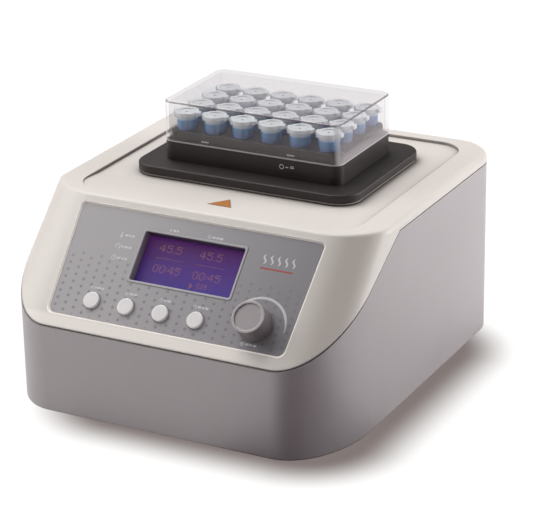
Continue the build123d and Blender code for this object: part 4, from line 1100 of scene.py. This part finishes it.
# a dim room lights the object; the camera sees a white backdrop
room = background((1.0, 0.985, 0.975), strength=0.25)
backdrop = background((1.0, 1.0, 0.995), strength=1.0)
light_path = tree.nodes.new("ShaderNodeLightPath")
choice = tree.nodes.new("ShaderNodeMixShader")
tree.links.new(light_path.outputs["Is Camera Ray"], choice.inputs[0])
tree.links.new(room, choice.inputs[1])
tree.links.new(backdrop, choice.inputs[2])
tree.links.new(choice.outputs[0], output.inputs["Surface"])

# ---------------------------------------------------------------- lights
# name, place, side of the square in metres, power in watts
LIGHTS = (
    ("top_box", (-0.62, 0.22, 1.42), 1.2, 17.0),
    ("left_front_box", (-1.42, -0.52, 0.95), 0.9, 9.6),
    ("right_rear_box", (1.30, 0.82, 0.55), 0.9, 18.6),
)
LIGHT_TARGET = Vector((0, 0, 0.08))
for name, place, side, power in LIGHTS:
    light = bpy.data.lights.new(name, "AREA")
    light.energy = power
    light.shape = "RECTANGLE"
    light.size = side
    light.size_y = side
    light.spread = math.radians(180)
    lamp = bpy.data.objects.new(name, light)
    bpy.context.scene.collection.objects.link(lamp)
    lamp.location = place
    lamp.rotation_mode = "QUATERNION"
    lamp.rotation_quaternion = (LIGHT_TARGET - Vector(place)).to_track_quat("-Z", "Y")

# ---------------------------------------------------------------- camera
AZIMUTH = math.radians(28.004)  # from the front towards the right
ELEVATION = math.radians(21.709)
ROLL = math.radians(-1.036)
PIVOT = Vector((0, 0, 70.0))  # mm
# the pivot as the camera sees it: right, up and backwards, in mm
PIVOT_SEEN = Vector((-12.235, -0.403, -1393.745))
back = Vector((math.sin(AZIMUTH) * math.cos(ELEVATION),
               -math.cos(AZIMUTH) * math.cos(ELEVATION),
               math.sin(ELEVATION)))
level_right = Vector((math.cos(AZIMUTH), math.sin(AZIMUTH), 0))
level_up = back.cross(level_right)
right = math.cos(ROLL) * level_right + math.sin(ROLL) * level_up
up = -math.sin(ROLL) * level_right + math.cos(ROLL) * level_up
eye = (PIVOT - (right * PIVOT_SEEN.x + up * PIVOT_SEEN.y + back * PIVOT_SEEN.z)) * MM
lens = bpy.data.cameras.new("cam")
lens.sensor_fit = "HORIZONTAL"
lens.sensor_width = 36.0
lens.lens = 150.51501
lens.clip_start = 0.05
lens.clip_end = 30.0
camera = bpy.data.objects.new("cam", lens)
bpy.context.scene.collection.objects.link(camera)
camera.matrix_world = Matrix((right, up, back, eye)).transposed().to_4x4() if False else Matrix((
    (right.x, up.x, back.x, eye.x),
    (right.y, up.y, back.y, eye.y),
    (right.z, up.z, back.z, eye.z),
    (0, 0, 0, 1)))
bpy.context.scene.camera = camera
bpy.context.scene.view_settings.view_transform = "Standard"
bpy.context.scene.view_settings.look = "None"
